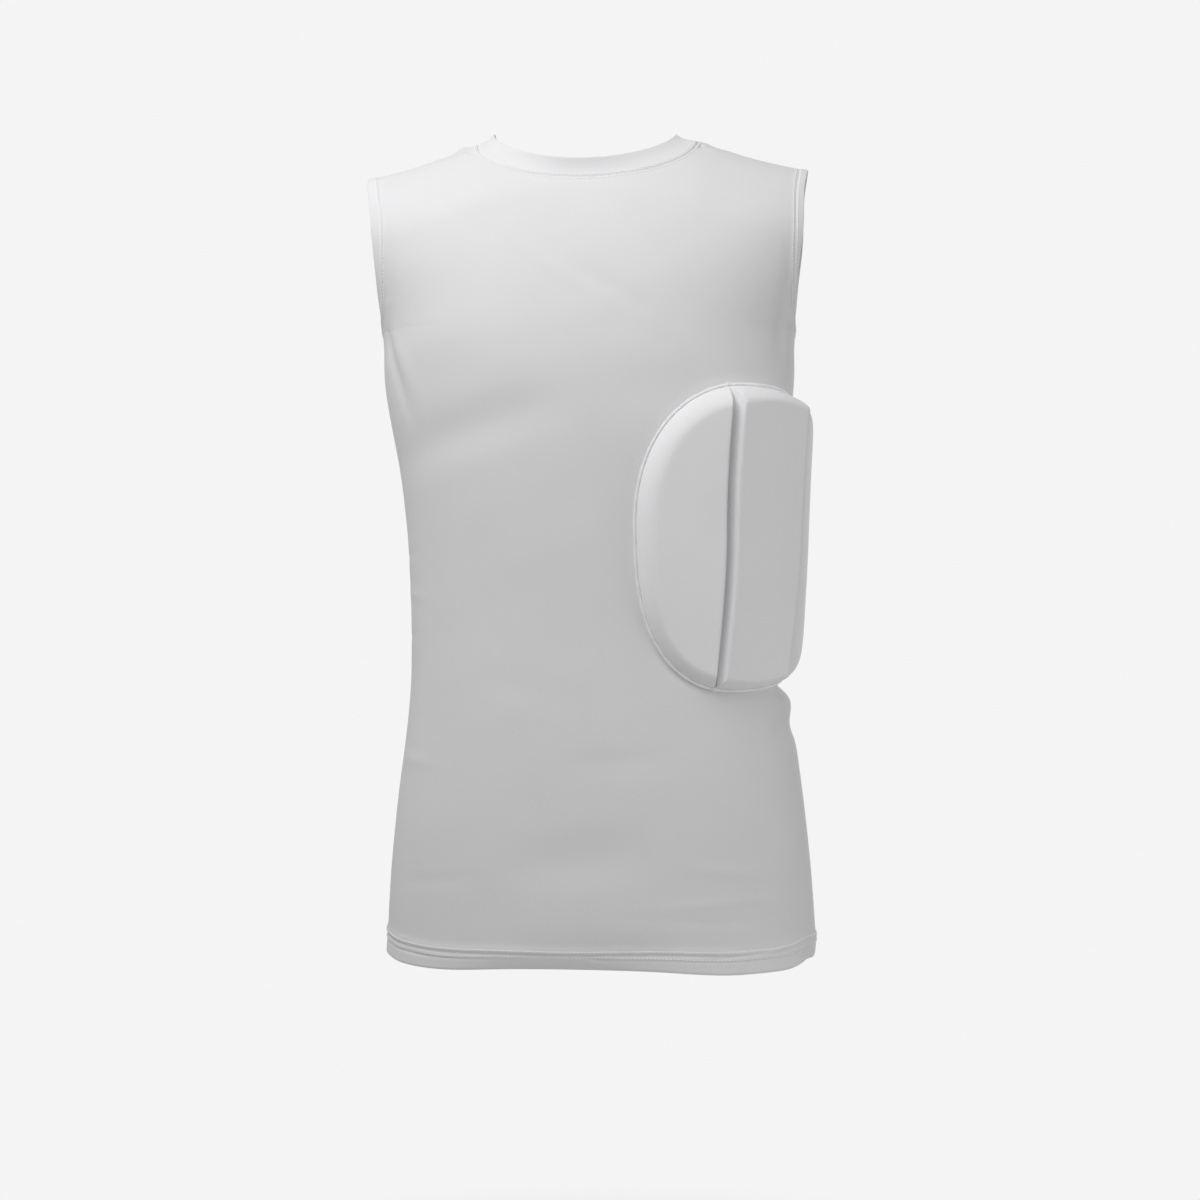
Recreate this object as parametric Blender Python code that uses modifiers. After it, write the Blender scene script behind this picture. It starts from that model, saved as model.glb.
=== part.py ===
"""Cricket body protector: a sleeveless stretch vest with a foam rib guard in three pieces.

The vest keeps the hollow form it has when worn. The origin is midway between the high shoulder
points, where the wearer's shoulders carry it. +X is the wearer's left, -Y the front, +Z up.
All sizes are in metres.
"""

import collections
import math

import bmesh
import bpy
import numpy as np
from mathutils import Vector

FRONT, BACK = -1, 1

# Cloth. Each wall is measured outwards from the surface that lies on the body.
WALL = 0.0012
HEM_WALL = 0.0022  # the hem is turned up once
BAND_WALL = 0.0018  # the neckband and the armhole bindings are folded
SEAM_GAP = 0.0003
HEM_DEPTH = 0.0178

# Outline of the vest.
LENGTH = 0.680  # high shoulder point to hem
HEM_TILT = 0.004  # the hem is this much lower at the wearer's left than at the right
HEM_TILT_FROM = -0.400  # the tilt fades out up to this height
NECK_HALF = 0.092  # centre to where the neckband seam meets a shoulder seam
SHOULDER_SLOPE = {1: 0.296, -1: 0.320}  # wearer's left and right
SHOULDER_ROLL = 0.068  # height over which the front and the back turn in to the shoulder seam
SQUARENESS = 2.45  # exponent of the oval rings, 2 for an ellipse
NECK_DROP = {FRONT: 0.0405, BACK: 0.0220}  # neckband seam below the high shoulder point

# Neckband, from its seam up to its free edge.
BAND_TOP_HALF = 0.0755
BAND_TOP_CENTRE = -0.003
BAND_TOP_DEPTH = {FRONT: 0.0580, BACK: 0.0570}
BAND_TOP_HIGH = 0.0085
BAND_TOP_DROP = {FRONT: 0.0310, BACK: 0.0140}
BAND_BULGE = 0.0010

# Armholes. The binding runs from its seam to the open edge.
UNDERARM = {"seam": -0.160, "edge": -0.150}
TIP_HALF = {"seam": 0.1765, "edge": 0.1850}  # where each ring crosses the shoulder line

# Rings of the body from the hem upwards. Above the underarm half_width is the reach that the ring
# would have without the armhole, and above the neck seam the rings only guide the curves.
Ring = collections.namedtuple("Ring", "z centre half_width front back")
RINGS = [
    Ring(-0.684, 0.0115, 0.1795, 0.0920, 0.1075),
    Ring(-0.640, 0.0105, 0.1783, 0.0930, 0.1070),
    Ring(-0.600, 0.0102, 0.1753, 0.0940, 0.1045),
    Ring(-0.560, 0.0102, 0.1712, 0.0945, 0.1000),
    Ring(-0.510, 0.0101, 0.1648, 0.0945, 0.0930),
    Ring(-0.460, 0.0092, 0.1587, 0.0940, 0.0880),
    Ring(-0.410, 0.0077, 0.1557, 0.0945, 0.0860),
    Ring(-0.360, 0.0059, 0.1553, 0.0970, 0.0880),
    Ring(-0.310, 0.0040, 0.1569, 0.1010, 0.0930),
    Ring(-0.260, 0.0025, 0.1622, 0.1055, 0.0990),
    Ring(-0.215, 0.0012, 0.1695, 0.1085, 0.1035),
    Ring(-0.190, 0.0007, 0.1715, 0.1088, 0.1045),
    Ring(-0.160, 0.0005, 0.1728, 0.1065, 0.1050),
    Ring(-0.130, 0.0015, 0.1820, 0.1015, 0.1030),
    Ring(-0.100, 0.0025, 0.1960, 0.0935, 0.0985),
    Ring(-0.070, 0.0020, 0.2060, 0.0825, 0.0900),
    Ring(-0.042, 0.0000, 0.2110, 0.0700, 0.0800),
    Ring(-0.020, 0.0000, 0.2120, 0.0590, 0.0720),
    Ring(0.0000, 0.0000, 0.2120, 0.0500, 0.0620),
    Ring(0.0300, 0.0000, 0.2120, 0.0400, 0.0500),
]

# Half widths of the two armhole rings, by share of the way up from the underarm to the shoulder.
ArmholeRow = collections.namedtuple("ArmholeRow", "share seam edge")
ARMHOLE = [
    ArmholeRow(0.00, 0.1728, 0.1734),
    ArmholeRow(0.12, 0.1700, 0.1740),
    ArmholeRow(0.33, 0.1680, 0.1752),
    ArmholeRow(0.58, 0.1672, 0.1778),
    ArmholeRow(0.85, 0.1712, 0.1812),
    ArmholeRow(1.00, TIP_HALF["seam"], TIP_HALF["edge"]),
]

# Grids of the cloth.
COLUMNS = 20
TRUNK_ROWS = 17
ARMHOLE_ROWS = 9
SHOULDER_ROWS = 3
TIP_CENTRE_Z = -0.078  # height at the middle of the row that ends on the shoulder tip
BAND_ROWS = 3
BINDING_ROWS = 3

# Rib guard. Its outline is drawn flat: across, round the body towards the back, and up.
GUARD_ANGLE = math.radians(43)  # where its middle lies, from the wearer's left towards the front
GUARD_Z = -0.332
GUARD_HALF_HEIGHT = 0.122
GUARD_REACH = {FRONT: 0.083, BACK: 0.118}
GUARD_SQUARENESS = {FRONT: 2.2, BACK: 2.6}
GUARD_LEAN = 0.011  # its foot lies this much further forwards than its middle
GUARD_LIFT = WALL + 0.0006  # its underside, clear of the faceted panel
EDGE_HEIGHT = 0.0015
FOAM = 0.0165  # at the grooves, at mid height
FOAM_TAPER = 0.0045  # more at the top, less at the bottom
FLATNESS = {"pad_front": 0.85, "pad_side": 0.85, "pad_back": 0.45}  # 1 for a face straight across
STRAIGHTNESS = 0.9  # 1 for faces that are straight from top to bottom
ROLLED_EDGE = 0.016
EDGE_FULLNESS = 2.2  # 1 for a straight bevel
GROOVE_GAP = 0.0005  # each side of the seam in a groove

Groove = collections.namedtuple("Groove", "across front_bevel back_bevel")
GROOVES = {
    "front": Groove(-0.015, 0.004, 0.009),
    "back": Groove(0.046, 0.003, 0.003),
}

THICKEST = 0.040  # more than any pad's own thickness
PAD_BETWEEN = 5  # columns of a pad's grid between its bevels
D_ROWS = 18

WELT_RADIUS = 0.0011
WELT_POINTS = 60
WELT_OUT = WELT_RADIUS + 0.0006  # its middle, outside the foam


def clear_scene():
    for thing in list(bpy.data.objects):
        bpy.data.objects.remove(thing)


def make_material(name, colour, roughness):
    material = bpy.data.materials.new(name)
    material.use_nodes = True
    shader = material.node_tree.nodes["Principled BSDF"]
    shader.inputs["Base Color"].default_value = (*colour, 1)
    shader.inputs["Roughness"].default_value = roughness
    shader.inputs["Metallic"].default_value = 0
    return material


def read_table(rows, column, at):
    """A table's column at one place, on a smooth curve through its rows. The first column is the place."""
    places = [row[0] for row in rows]
    values = [getattr(row, column) for row in rows]
    at = min(max(at, places[0]), places[-1])
    k = min(max(int(np.searchsorted(places, at, side="right")) - 1, 0), len(rows) - 2)

    def slope(i):
        low, high = max(i - 1, 0), min(i + 1, len(rows) - 1)
        return (values[high] - values[low]) / (places[high] - places[low])

    span = places[k + 1] - places[k]
    t = (at - places[k]) / span
    return (
        values[k] * (1 + 2 * t) * (1 - t) ** 2
        + slope(k) * span * t * (1 - t) ** 2
        + values[k + 1] * t * t * (3 - 2 * t)
        - slope(k + 1) * span * t * t * (1 - t)
    )


def quarter_round(share):
    """Height of a rounded edge, from 0 at its foot to 1 where share reaches 1."""
    share = min(max(share, 0), 1)
    return math.sqrt(1 - (1 - share) ** 2)


def ridge_height(x):
    """Height of the shoulder line over x, carried smoothly across the neck."""
    share = min(max(x / NECK_HALF, -1), 1)
    slope = (SHOULDER_SLOPE[1] * (1 + share) + SHOULDER_SLOPE[-1] * (1 - share)) / 2
    if abs(x) < NECK_HALF:
        return (NECK_HALF**2 - x**2) / (2 * NECK_HALF) * slope
    return (NECK_HALF - abs(x)) * slope


def body_depth(x, z, side):
    """How far the body's surface lies in front of the shoulder line, or behind it."""
    half_width = read_table(RINGS, "half_width", z)
    depth = read_table(RINGS, "front" if side == FRONT else "back", z)
    reach = min(abs(x - read_table(RINGS, "centre", z)) / half_width, 1)
    across = (1 - reach**SQUARENESS) ** (1 / SQUARENESS)
    return depth * across * quarter_round((ridge_height(x) - z) / SHOULDER_ROLL)


def body_point(x, z, side):
    """A point of the body's surface, half a seam gap clear of the side and shoulder seams."""
    return Vector((x, side * max(body_depth(x, z, side), SEAM_GAP / 2), z))


def across_share(share):
    """Place across a ring from -1 to 1, spaced evenly round its oval."""
    turn = math.cos(math.pi * (1 - share))
    return math.copysign(abs(turn) ** (2 / SQUARENESS), turn)


def armhole_place(ring, hand, share):
    """(x, z) on an armhole ring, from the underarm (0) to the shoulder line (1)."""
    bottom, top = UNDERARM[ring], ridge_height(hand * TIP_HALF[ring])
    climb = (1 - math.cos(math.pi * share)) / 2
    z = bottom + (top - bottom) * climb
    return read_table(RINGS, "centre", z) + hand * read_table(ARMHOLE, ring, climb), z


# The places (x, z) where a row of a panel ends, its height at the middle, and how round it curls up.
PanelRow = collections.namedtuple("PanelRow", "right left middle_z curl")


def trunk_row(z):
    """A row from side seam to side seam, tilted with the hem."""
    tilt = HEM_TILT / 2 * max(0, (HEM_TILT_FROM - z) / (HEM_TILT_FROM + LENGTH))
    ends = []
    for hand in (-1, 1):
        end_z = z - hand * tilt
        half_width = read_table(RINGS, "half_width", end_z)
        ends.append((read_table(RINGS, "centre", end_z) + hand * half_width, end_z))
    return PanelRow(*ends, z, 0)


def panel_rows(side):
    """The rows of the front or back panel, from the hem to the neck seam."""
    hem_top = HEM_DEPTH - LENGTH
    turned_edge = hem_top + 0.0015  # where the hem's wall thins to a single one
    rows = [trunk_row(-LENGTH), trunk_row(hem_top)]
    for k in range(TRUNK_ROWS + 1):
        rows.append(trunk_row(turned_edge + (UNDERARM["seam"] - turned_edge) * k / TRUNK_ROWS))
    for k in range(1, ARMHOLE_ROWS + 1):
        share = k / ARMHOLE_ROWS
        middle = UNDERARM["seam"] + (TIP_CENTRE_Z - UNDERARM["seam"]) * share
        ends = [armhole_place("seam", hand, share) for hand in (-1, 1)]
        rows.append(PanelRow(*ends, middle, 0))
    for k in range(1, SHOULDER_ROWS + 1):
        share = k / SHOULDER_ROWS
        x = TIP_HALF["seam"] + (NECK_HALF - TIP_HALF["seam"]) * share
        middle = TIP_CENTRE_Z - (TIP_CENTRE_Z + NECK_DROP[side]) * share
        rows.append(PanelRow((-x, ridge_height(-x)), (x, ridge_height(x)), middle, share))
    return rows


def row_point(row, side, across):
    """A point of a panel row; across runs from -1 at the wearer's right to 1."""
    x = (row.right[0] * (1 - across) + row.left[0] * (1 + across)) / 2
    end_z = (row.left if across > 0 else row.right)[1]
    round_rise = 1 - math.sqrt(1 - across**2)
    rise = across**2 * (1 - row.curl) + round_rise * row.curl
    return body_point(x, row.middle_z + (end_z - row.middle_z) * rise, side)


def grid_piece(name, columns, rows, place, thickness, material, wrap=False, thickness_at=None):
    """A sheet laid out as a grid by place(column, row), then thickened away from the body."""
    shape = bmesh.new()
    bmesh.ops.create_grid(shape, x_segments=columns, y_segments=rows, size=0.5)
    weights = shape.verts.layers.deform.verify()
    for vertex in shape.verts:
        column = round((vertex.co.x + 0.5) * columns)
        row = round((vertex.co.y + 0.5) * rows)
        vertex.co = place(column % columns if wrap else column, row)
        vertex[weights][0] = thickness_at(column, row) / thickness if thickness_at else 1
    bmesh.ops.remove_doubles(shape, verts=shape.verts, dist=1e-6)
    shape.normal_update()
    middle = Vector((0, 0, -0.15))
    outward = 0
    for face in shape.faces:
        away = face.calc_center_median() - middle
        away.z *= abs(face.normal.z) > 0.5
        outward += face.normal.dot(away) * face.calc_area()
    if outward < 0:
        bmesh.ops.reverse_faces(shape, faces=shape.faces)
    mesh = bpy.data.meshes.new(name)
    shape.to_mesh(mesh)
    shape.free()
    mesh.shade_smooth()
    piece = bpy.data.objects.new(name, mesh)
    piece.vertex_groups.new(name="thickness")
    mesh.materials.append(material)
    wall = piece.modifiers.new("wall", "SOLIDIFY")
    wall.thickness = thickness
    wall.offset = 1
    wall.vertex_group = "thickness"
    return piece


def make_panel(name, side, material):
    """The front or back panel, hem to shoulder seams, with its turned-up hem."""
    rows = panel_rows(side)

    def place(column, row):
        return row_point(rows[row], side, across_share(column / COLUMNS))

    def thickness_at(column, row):
        return HEM_WALL if row < 2 else WALL

    return grid_piece(name, COLUMNS, len(rows) - 1, place, HEM_WALL, material, False, thickness_at)


def neck_ring(column):
    """(side, across) for a column of the neckband, once round from the wearer's right."""
    if column <= COLUMNS:
        return FRONT, across_share(column / COLUMNS)
    return BACK, across_share((2 * COLUMNS - column) / COLUMNS)


def make_neckband(material):
    """The folded band that stands up from the neck seam."""

    def place(column, row):
        side, across = neck_ring(column)
        inward = math.sqrt(1 - across**2)
        seam = row_point(panel_rows(side)[-1], side, across)
        if inward < 1e-6:
            seam.y = 0
        edge = Vector(
            (
                BAND_TOP_CENTRE + BAND_TOP_HALF * across,
                side * BAND_TOP_DEPTH[side] * inward,
                BAND_TOP_HIGH - BAND_TOP_DROP[side] * inward,
            )
        )
        start = SEAM_GAP * 2 / (edge - seam).length
        share = start + (1 - start) * row / BAND_ROWS
        bulge = BAND_BULGE * math.sin(math.pi * share)
        outward = Vector((across, side * inward, 0.6)).normalized()
        return seam.lerp(edge, share) + outward * bulge

    return grid_piece("neckband", 2 * COLUMNS, BAND_ROWS, place, BAND_WALL, material, True)


def make_binding(name, hand, material):
    """The folded strip round one armhole. hand is 1 at the wearer's left and -1 at the right."""
    columns = 2 * ARMHOLE_ROWS

    def ring_point(ring, column):
        side = FRONT if column <= ARMHOLE_ROWS else BACK
        steps = column if column <= ARMHOLE_ROWS else columns - column
        point = body_point(*armhole_place(ring, hand, steps / ARMHOLE_ROWS), side)
        if steps in (0, ARMHOLE_ROWS):
            point.y = 0
        return point

    def place(column, row):
        seam, edge = ring_point("seam", column), ring_point("edge", column)
        start = SEAM_GAP * 1.5 / (edge - seam).length
        share = start + (1 - start) * row / BINDING_ROWS
        return seam.lerp(edge, share)

    return grid_piece(name, columns, BINDING_ROWS, place, BAND_WALL, material, True)


def side_point(angle, z, lift):
    """A point over the body below the armholes. angle is 0 at the wearer's left, positive in front."""

    def on_ring(angle, z):
        side = FRONT if angle >= 0 else BACK
        power = 2 / SQUARENESS
        half_width = read_table(RINGS, "half_width", z)
        depth = read_table(RINGS, "front" if side == FRONT else "back", z)
        x = read_table(RINGS, "centre", z) + half_width * math.cos(angle) ** power
        return Vector((x, side * depth * abs(math.sin(angle)) ** power, z))

    step = 0.01
    around = on_ring(angle - step, z) - on_ring(angle + step, z)
    upward = on_ring(angle, z + step) - on_ring(angle, z - step)
    return on_ring(angle, z) + around.cross(upward).normalized() * lift


def guard_angles():
    """Arc lengths round the ring at the guard's middle, from GUARD_ANGLE towards the back, by angle."""
    angles = np.radians(np.arange(88, -60, -1.0))
    points = np.array([side_point(a, GUARD_Z, 0) for a in angles])
    lengths = np.concatenate([[0], np.cumsum(np.linalg.norm(np.diff(points, axis=0), axis=1))])
    return lengths - np.interp(-GUARD_ANGLE, -angles, lengths), angles


ARC_LENGTHS, ARC_ANGLES = guard_angles()


def guard_point(across, up, lift):
    """A point of the guard's flat drawing, laid on the body and lifted off it."""
    across -= GUARD_LEAN * max(0, -up / GUARD_HALF_HEIGHT) ** 1.5
    return side_point(float(np.interp(across, ARC_LENGTHS, ARC_ANGLES)), GUARD_Z + up, lift)


def guard_outline(turn):
    """(across, up) on the guard's outline. turn is 0 at its back, a quarter at its top."""
    c, s = math.cos(turn), math.sin(turn)
    side = BACK if c > 0 else FRONT
    power = 2 / GUARD_SQUARENESS[side]
    across = GUARD_REACH[side] * math.copysign(abs(c) ** power, c)
    return across, GUARD_HALF_HEIGHT * math.copysign(abs(s) ** power, s)


def groove_ends(place):
    """The outline's turns at the foot and the top of an upright line through the drawing."""
    side = BACK if place > 0 else FRONT
    share = math.copysign((abs(place) / GUARD_REACH[side]) ** (GUARD_SQUARENESS[side] / 2), place)
    top = math.acos(share)
    return -top, top


def spaced(width, near_start, near_end):
    """Steps from 0 to width: those near an end at set distances from it, then PAD_BETWEEN even ones."""
    room = width * 0.45
    start = [d * min(1, room / near_start[-1]) for d in near_start]
    end = [width - d * min(1, room / near_end[-1]) for d in reversed(near_end)]
    between = [start[-1] + (end[0] - start[-1]) * k / PAD_BETWEEN for k in range(1, PAD_BETWEEN)]
    return start + between + end


def crown(across, up, span, flatness):
    """Full thickness of a pad whose grooves or edges lie at the two places of span."""
    here = guard_point(across, up, 0)

    def above(one, other):
        """How far here stands out from the straight line between two points of the body."""
        along = (other - one).normalized()
        away = here - one - along * (here - one).dot(along)
        outward = Vector((here.x, here.y, 0))
        return math.copysign(away.length, away.dot(outward))

    bulge = above(guard_point(span[0], up, 0), guard_point(span[1], up, 0))
    hollow = -above(
        guard_point(across, -GUARD_HALF_HEIGHT, 0), guard_point(across, GUARD_HALF_HEIGHT, 0)
    )
    taper = FOAM_TAPER * up / GUARD_HALF_HEIGHT
    return FOAM + taper - flatness * max(bulge, 0) + STRAIGHTNESS * max(hollow, 0)


OUTLINE = [Vector(guard_outline(2 * math.pi * k / 360)) for k in range(360)]


def foam_height(spot, grooves, span, flatness):
    """Thickness of a pad at one place of the drawing. grooves holds (across, bevel)."""
    inside = min(1, min((spot - point).length for point in OUTLINE) / ROLLED_EDGE)
    height = 1 - (1 - inside) ** EDGE_FULLNESS
    for across, bevel in grooves:
        height = min(height, quarter_round(abs(spot.x - across) / bevel))
    return EDGE_HEIGHT + (crown(spot.x, spot.y, span, flatness) - EDGE_HEIGHT) * height


def make_end_pad(name, side, groove, material):
    """The D-shaped pad between the front or the back of the outline and a groove."""
    edge = groove.across + side * GROOVE_GAP
    foot, top = groove_ends(edge)
    if side == FRONT:
        top, foot = top, foot + 2 * math.pi
        bevel = groove.front_bevel
    else:
        bevel = groove.back_bevel
    grooves, span = [(edge, bevel)], sorted([edge, side * GUARD_REACH[side]])
    near_edge = [ROLLED_EDGE * share for share in (0, 0.06, 0.2, 0.45, 1)]
    near_groove = [bevel * share for share in (0, 0.15, 0.45, 1)]

    def spot(column, row):
        share = row / D_ROWS
        on_outline = Vector(guard_outline(foot + (top - foot) * share))
        low, high = guard_outline(foot)[1], guard_outline(top)[1]
        on_groove = Vector((edge, low + (high - low) * (1 - math.cos(math.pi * share)) / 2))
        width = (on_groove - on_outline).length
        if width < 1e-6:
            return on_outline
        steps = spaced(width, near_edge, near_groove)
        return on_outline.lerp(on_groove, steps[column] / width)

    def place(column, row):
        return guard_point(*spot(column, row), GUARD_LIFT)

    def thickness_at(column, row):
        return foam_height(spot(column, row), grooves, span, FLATNESS[name])

    columns = len(near_edge) + len(near_groove) + PAD_BETWEEN - 2
    return grid_piece(name, columns, D_ROWS, place, THICKEST, material, False, thickness_at)


def make_side_pad(name, front, back, material):
    """The pad between two grooves."""
    edges = (front.across + GROOVE_GAP, back.across - GROOVE_GAP)
    grooves = [(edges[0], front.back_bevel), (edges[1], back.front_bevel)]
    near_front = [front.back_bevel * share for share in (0, 0.15, 0.45, 1)]
    near_back = [back.front_bevel * share for share in (0, 0.15, 0.45, 1)]
    near_rim = [ROLLED_EDGE * share for share in (0, 0.06, 0.2, 0.45, 1)]

    def spot(column, row):
        across = edges[0] + spaced(edges[1] - edges[0], near_front, near_back)[column]
        high = guard_outline(groove_ends(across)[1])[1]
        return Vector((across, spaced(2 * high, near_rim, near_rim)[row] - high))

    def place(column, row):
        return guard_point(*spot(column, row), GUARD_LIFT)

    def thickness_at(column, row):
        return foam_height(spot(column, row), grooves, edges, FLATNESS[name])

    columns = len(near_front) + len(near_back) + PAD_BETWEEN - 2
    rows = 2 * len(near_rim) + PAD_BETWEEN - 2
    return grid_piece(name, columns, rows, place, THICKEST, material, False, thickness_at)


def make_welt(material):
    """The cord-like seam that joins the guard's cover to the vest, once round the outline."""
    curve = bpy.data.curves.new("guard_welt", "CURVE")
    curve.dimensions = "3D"
    curve.bevel_depth = WELT_RADIUS
    curve.bevel_resolution = 1
    line = curve.splines.new("POLY")
    line.points.add(WELT_POINTS - 1)
    line.use_cyclic_u = True
    for k, point in enumerate(line.points):
        turn = 2 * math.pi * k / WELT_POINTS
        spot = Vector(guard_outline(turn))
        along = Vector(guard_outline(turn + 0.01)) - Vector(guard_outline(turn - 0.01))
        out = Vector((along.y, -along.x)).normalized()
        spot += out * WELT_OUT
        point.co = (*guard_point(spot.x, spot.y, GUARD_LIFT + WELT_RADIUS), 1)
    welt = bpy.data.objects.new("guard_welt", curve)
    curve.materials.append(material)
    return welt


def main():
    clear_scene()
    parts = bpy.data.collections.new("cricket_body_protector")
    bpy.context.scene.collection.children.link(parts)
    jersey = make_material("white_jersey", (0.80, 0.80, 0.81), 0.75)
    binding = make_material("white_binding", (0.82, 0.82, 0.83), 0.75)
    cover = make_material("white_pad_cover", (0.80, 0.80, 0.81), 0.60)
    pieces = [
        make_panel("front", FRONT, jersey),
        make_panel("back", BACK, jersey),
        make_neckband(binding),
        make_binding("armhole_binding_left", 1, binding),
        make_binding("armhole_binding_right", -1, binding),
        make_end_pad("pad_front", FRONT, GROOVES["front"], cover),
        make_side_pad("pad_side", GROOVES["front"], GROOVES["back"], cover),
        make_end_pad("pad_back", BACK, GROOVES["back"], cover),
        make_welt(cover),
    ]
    for piece in pieces:
        parts.objects.link(piece)


main()
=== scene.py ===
"""The looks of a cricket body protector: a white sleeveless stretch vest in its hollow worn form,
with a bevelled foam rib guard on the wearer's left. Metres, +Z up, and the wearer faces -Y."""

import math
from collections import namedtuple

import bmesh
import bpy
import numpy as np
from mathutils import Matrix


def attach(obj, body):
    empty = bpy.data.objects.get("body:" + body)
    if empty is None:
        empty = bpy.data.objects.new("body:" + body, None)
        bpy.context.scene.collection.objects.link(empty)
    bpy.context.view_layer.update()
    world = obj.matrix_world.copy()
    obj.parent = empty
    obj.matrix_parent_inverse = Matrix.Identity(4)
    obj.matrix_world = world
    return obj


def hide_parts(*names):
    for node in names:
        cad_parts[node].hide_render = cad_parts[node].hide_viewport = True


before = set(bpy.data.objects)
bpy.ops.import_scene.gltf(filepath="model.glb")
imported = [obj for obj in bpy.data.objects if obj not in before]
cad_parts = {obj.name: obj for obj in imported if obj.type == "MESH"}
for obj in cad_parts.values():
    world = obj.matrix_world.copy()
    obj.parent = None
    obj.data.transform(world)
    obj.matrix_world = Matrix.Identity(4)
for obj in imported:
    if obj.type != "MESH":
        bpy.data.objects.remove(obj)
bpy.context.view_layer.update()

FRONT, BACK = -1, 1
MM = 0.001

# -------------------- sizes of the form, the solids' own or a few millimetres from them

WALL = 0.0012
HEM_WALL = 0.0022
BAND_WALL = 0.0018
SEAM_GAP = 0.0001  # between two pieces of cloth
HEM_DEPTH = 0.0178
LENGTH = 0.680  # high shoulder point to hem
HEM_TILT = 0.004  # the hem is this much lower at the wearer's left than at the right
HEM_TILT_FROM = -0.400  # the tilt fades out up to this height
NECK_HALF = 0.092  # centre to where the neck seam meets a shoulder seam
SHOULDER_SLOPE = {1: 0.296, -1: 0.320}  # wearer's left and right
SHOULDER_BEND = 1.1  # how much the shoulder line sags between the neck and its tip, and lifts there
SHOULDER_FLAT = 0.075  # distance past the neck seam where the sag ends
SHOULDER_ROLL = 0.068  # height over which the panels turn in to the shoulder seam
SQUARENESS = 2.45  # exponent of the oval rings, 2 for an ellipse
NECK_DROP = {FRONT: 0.0390, BACK: 0.0220}  # neck seam below the high shoulder point
BAND_TOP_HALF = 0.0755
BAND_TOP_CENTRE = -0.003
BAND_TOP_DEPTH = {FRONT: 0.0640, BACK: 0.0570}
BAND_TOP_HIGH = 0.0085
BAND_TOP_DROP = {FRONT: 0.0303, BACK: 0.0140}
BAND_TOP_POWER = {FRONT: 1.15, BACK: 0.75}
BAND_TOP_TILT = 0.0015  # rise of the band's top at the wearer's right, and its fall at the left
BAND_HOLLOW = 0.0015  # how far the band curves in between its seam and its fold
BAND_SIDE_HOLLOW = 0.0008  # and how much more at the shoulders
UNDERARM = {"seam": -0.160, "edge": -0.150}
TIP_HALF = 0.1765  # where the armhole seams cross the shoulder line
TIP_CENTRE_Z = -0.078  # height at the middle of the row that ends on the shoulder's tip

# The body's outline at each height: its middle, its half width, and its depths from the shoulder line.
Ring = namedtuple("Ring", "z centre half_width front back")
RINGS = [
    Ring(-0.684, 0.0115, 0.1787, 0.0920, 0.1075),
    Ring(-0.640, 0.0105, 0.1770, 0.0930, 0.1070),
    Ring(-0.600, 0.0102, 0.1742, 0.0940, 0.1045),
    Ring(-0.560, 0.0102, 0.1700, 0.0945, 0.1000),
    Ring(-0.510, 0.0101, 0.1636, 0.0945, 0.0930),
    Ring(-0.460, 0.0092, 0.1575, 0.0940, 0.0880),
    Ring(-0.410, 0.0077, 0.1545, 0.0945, 0.0860),
    Ring(-0.360, 0.0059, 0.1541, 0.0970, 0.0880),
    Ring(-0.310, 0.0040, 0.1557, 0.1010, 0.0930),
    Ring(-0.260, 0.0025, 0.1610, 0.1055, 0.0990),
    Ring(-0.215, 0.0012, 0.1684, 0.1085, 0.1035),
    Ring(-0.190, 0.0007, 0.1705, 0.1088, 0.1045),
    Ring(-0.160, 0.0005, 0.1716, 0.1065, 0.1050),
    Ring(-0.130, 0.0015, 0.1815, 0.1015, 0.1030),
    Ring(-0.100, 0.0025, 0.1960, 0.0935, 0.0985),
    Ring(-0.070, 0.0020, 0.2060, 0.0825, 0.0900),
    Ring(-0.042, 0.0000, 0.2110, 0.0700, 0.0800),
    Ring(-0.020, 0.0000, 0.2120, 0.0590, 0.0720),
    Ring(0.0000, 0.0000, 0.2120, 0.0500, 0.0620),
    Ring(0.0300, 0.0000, 0.2120, 0.0400, 0.0500),
]

# Half widths of the armhole rings, by share of the way up from the underarm to the shoulder.
ArmholeRow = namedtuple("ArmholeRow", "share left_seam left_edge right_seam right_edge")
ARMHOLE = [
    ArmholeRow(0.00, 0.1716, 0.1700, 0.1716, 0.1704),
    ArmholeRow(0.12, 0.1697, 0.1712, 0.1673, 0.1714),
    ArmholeRow(0.33, 0.1691, 0.1730, 0.1662, 0.1736),
    ArmholeRow(0.58, 0.1700, 0.1768, 0.1671, 0.1772),
    ArmholeRow(0.85, 0.1736, 0.1804, 0.1713, 0.1812),
    ArmholeRow(1.00, TIP_HALF, 0.1838, TIP_HALF, 0.1858),
]
HAND_NAMES = {1: "left", -1: "right"}

# The rib guard, drawn flat: across, round the body towards the back, and up.
GUARD_ANGLE = math.radians(43)
GUARD_Z = -0.332
GUARD_HALF_HEIGHT = 0.122
GUARD_REACH = {FRONT: 0.083, BACK: 0.118}
GUARD_SQUARENESS = {FRONT: 2.2, BACK: 2.55}
GUARD_LEAN = 0.011  # its foot lies this much further forwards than its middle
GUARD_LIFT = WALL + 0.0006  # its underside
EDGE_HEIGHT = 0.0015
FOAM = 0.0165  # at the grooves, at mid height
FOAM_TAPER = 0.0045  # more at the top, less at the bottom
FLATNESS = {"pad_front": 0.85, "pad_side": 0.85, "pad_back": 0.5}  # 1 for a face straight across
STANDING = {"pad_front": 1, "pad_side": 1.14, "pad_back": 1.02}  # how high each stands against the front one
STRAIGHTNESS = 0.9  # 1 for faces that are straight from top to bottom
GROOVE_GAP = 0.0004  # each side of the seam in a groove
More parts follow.
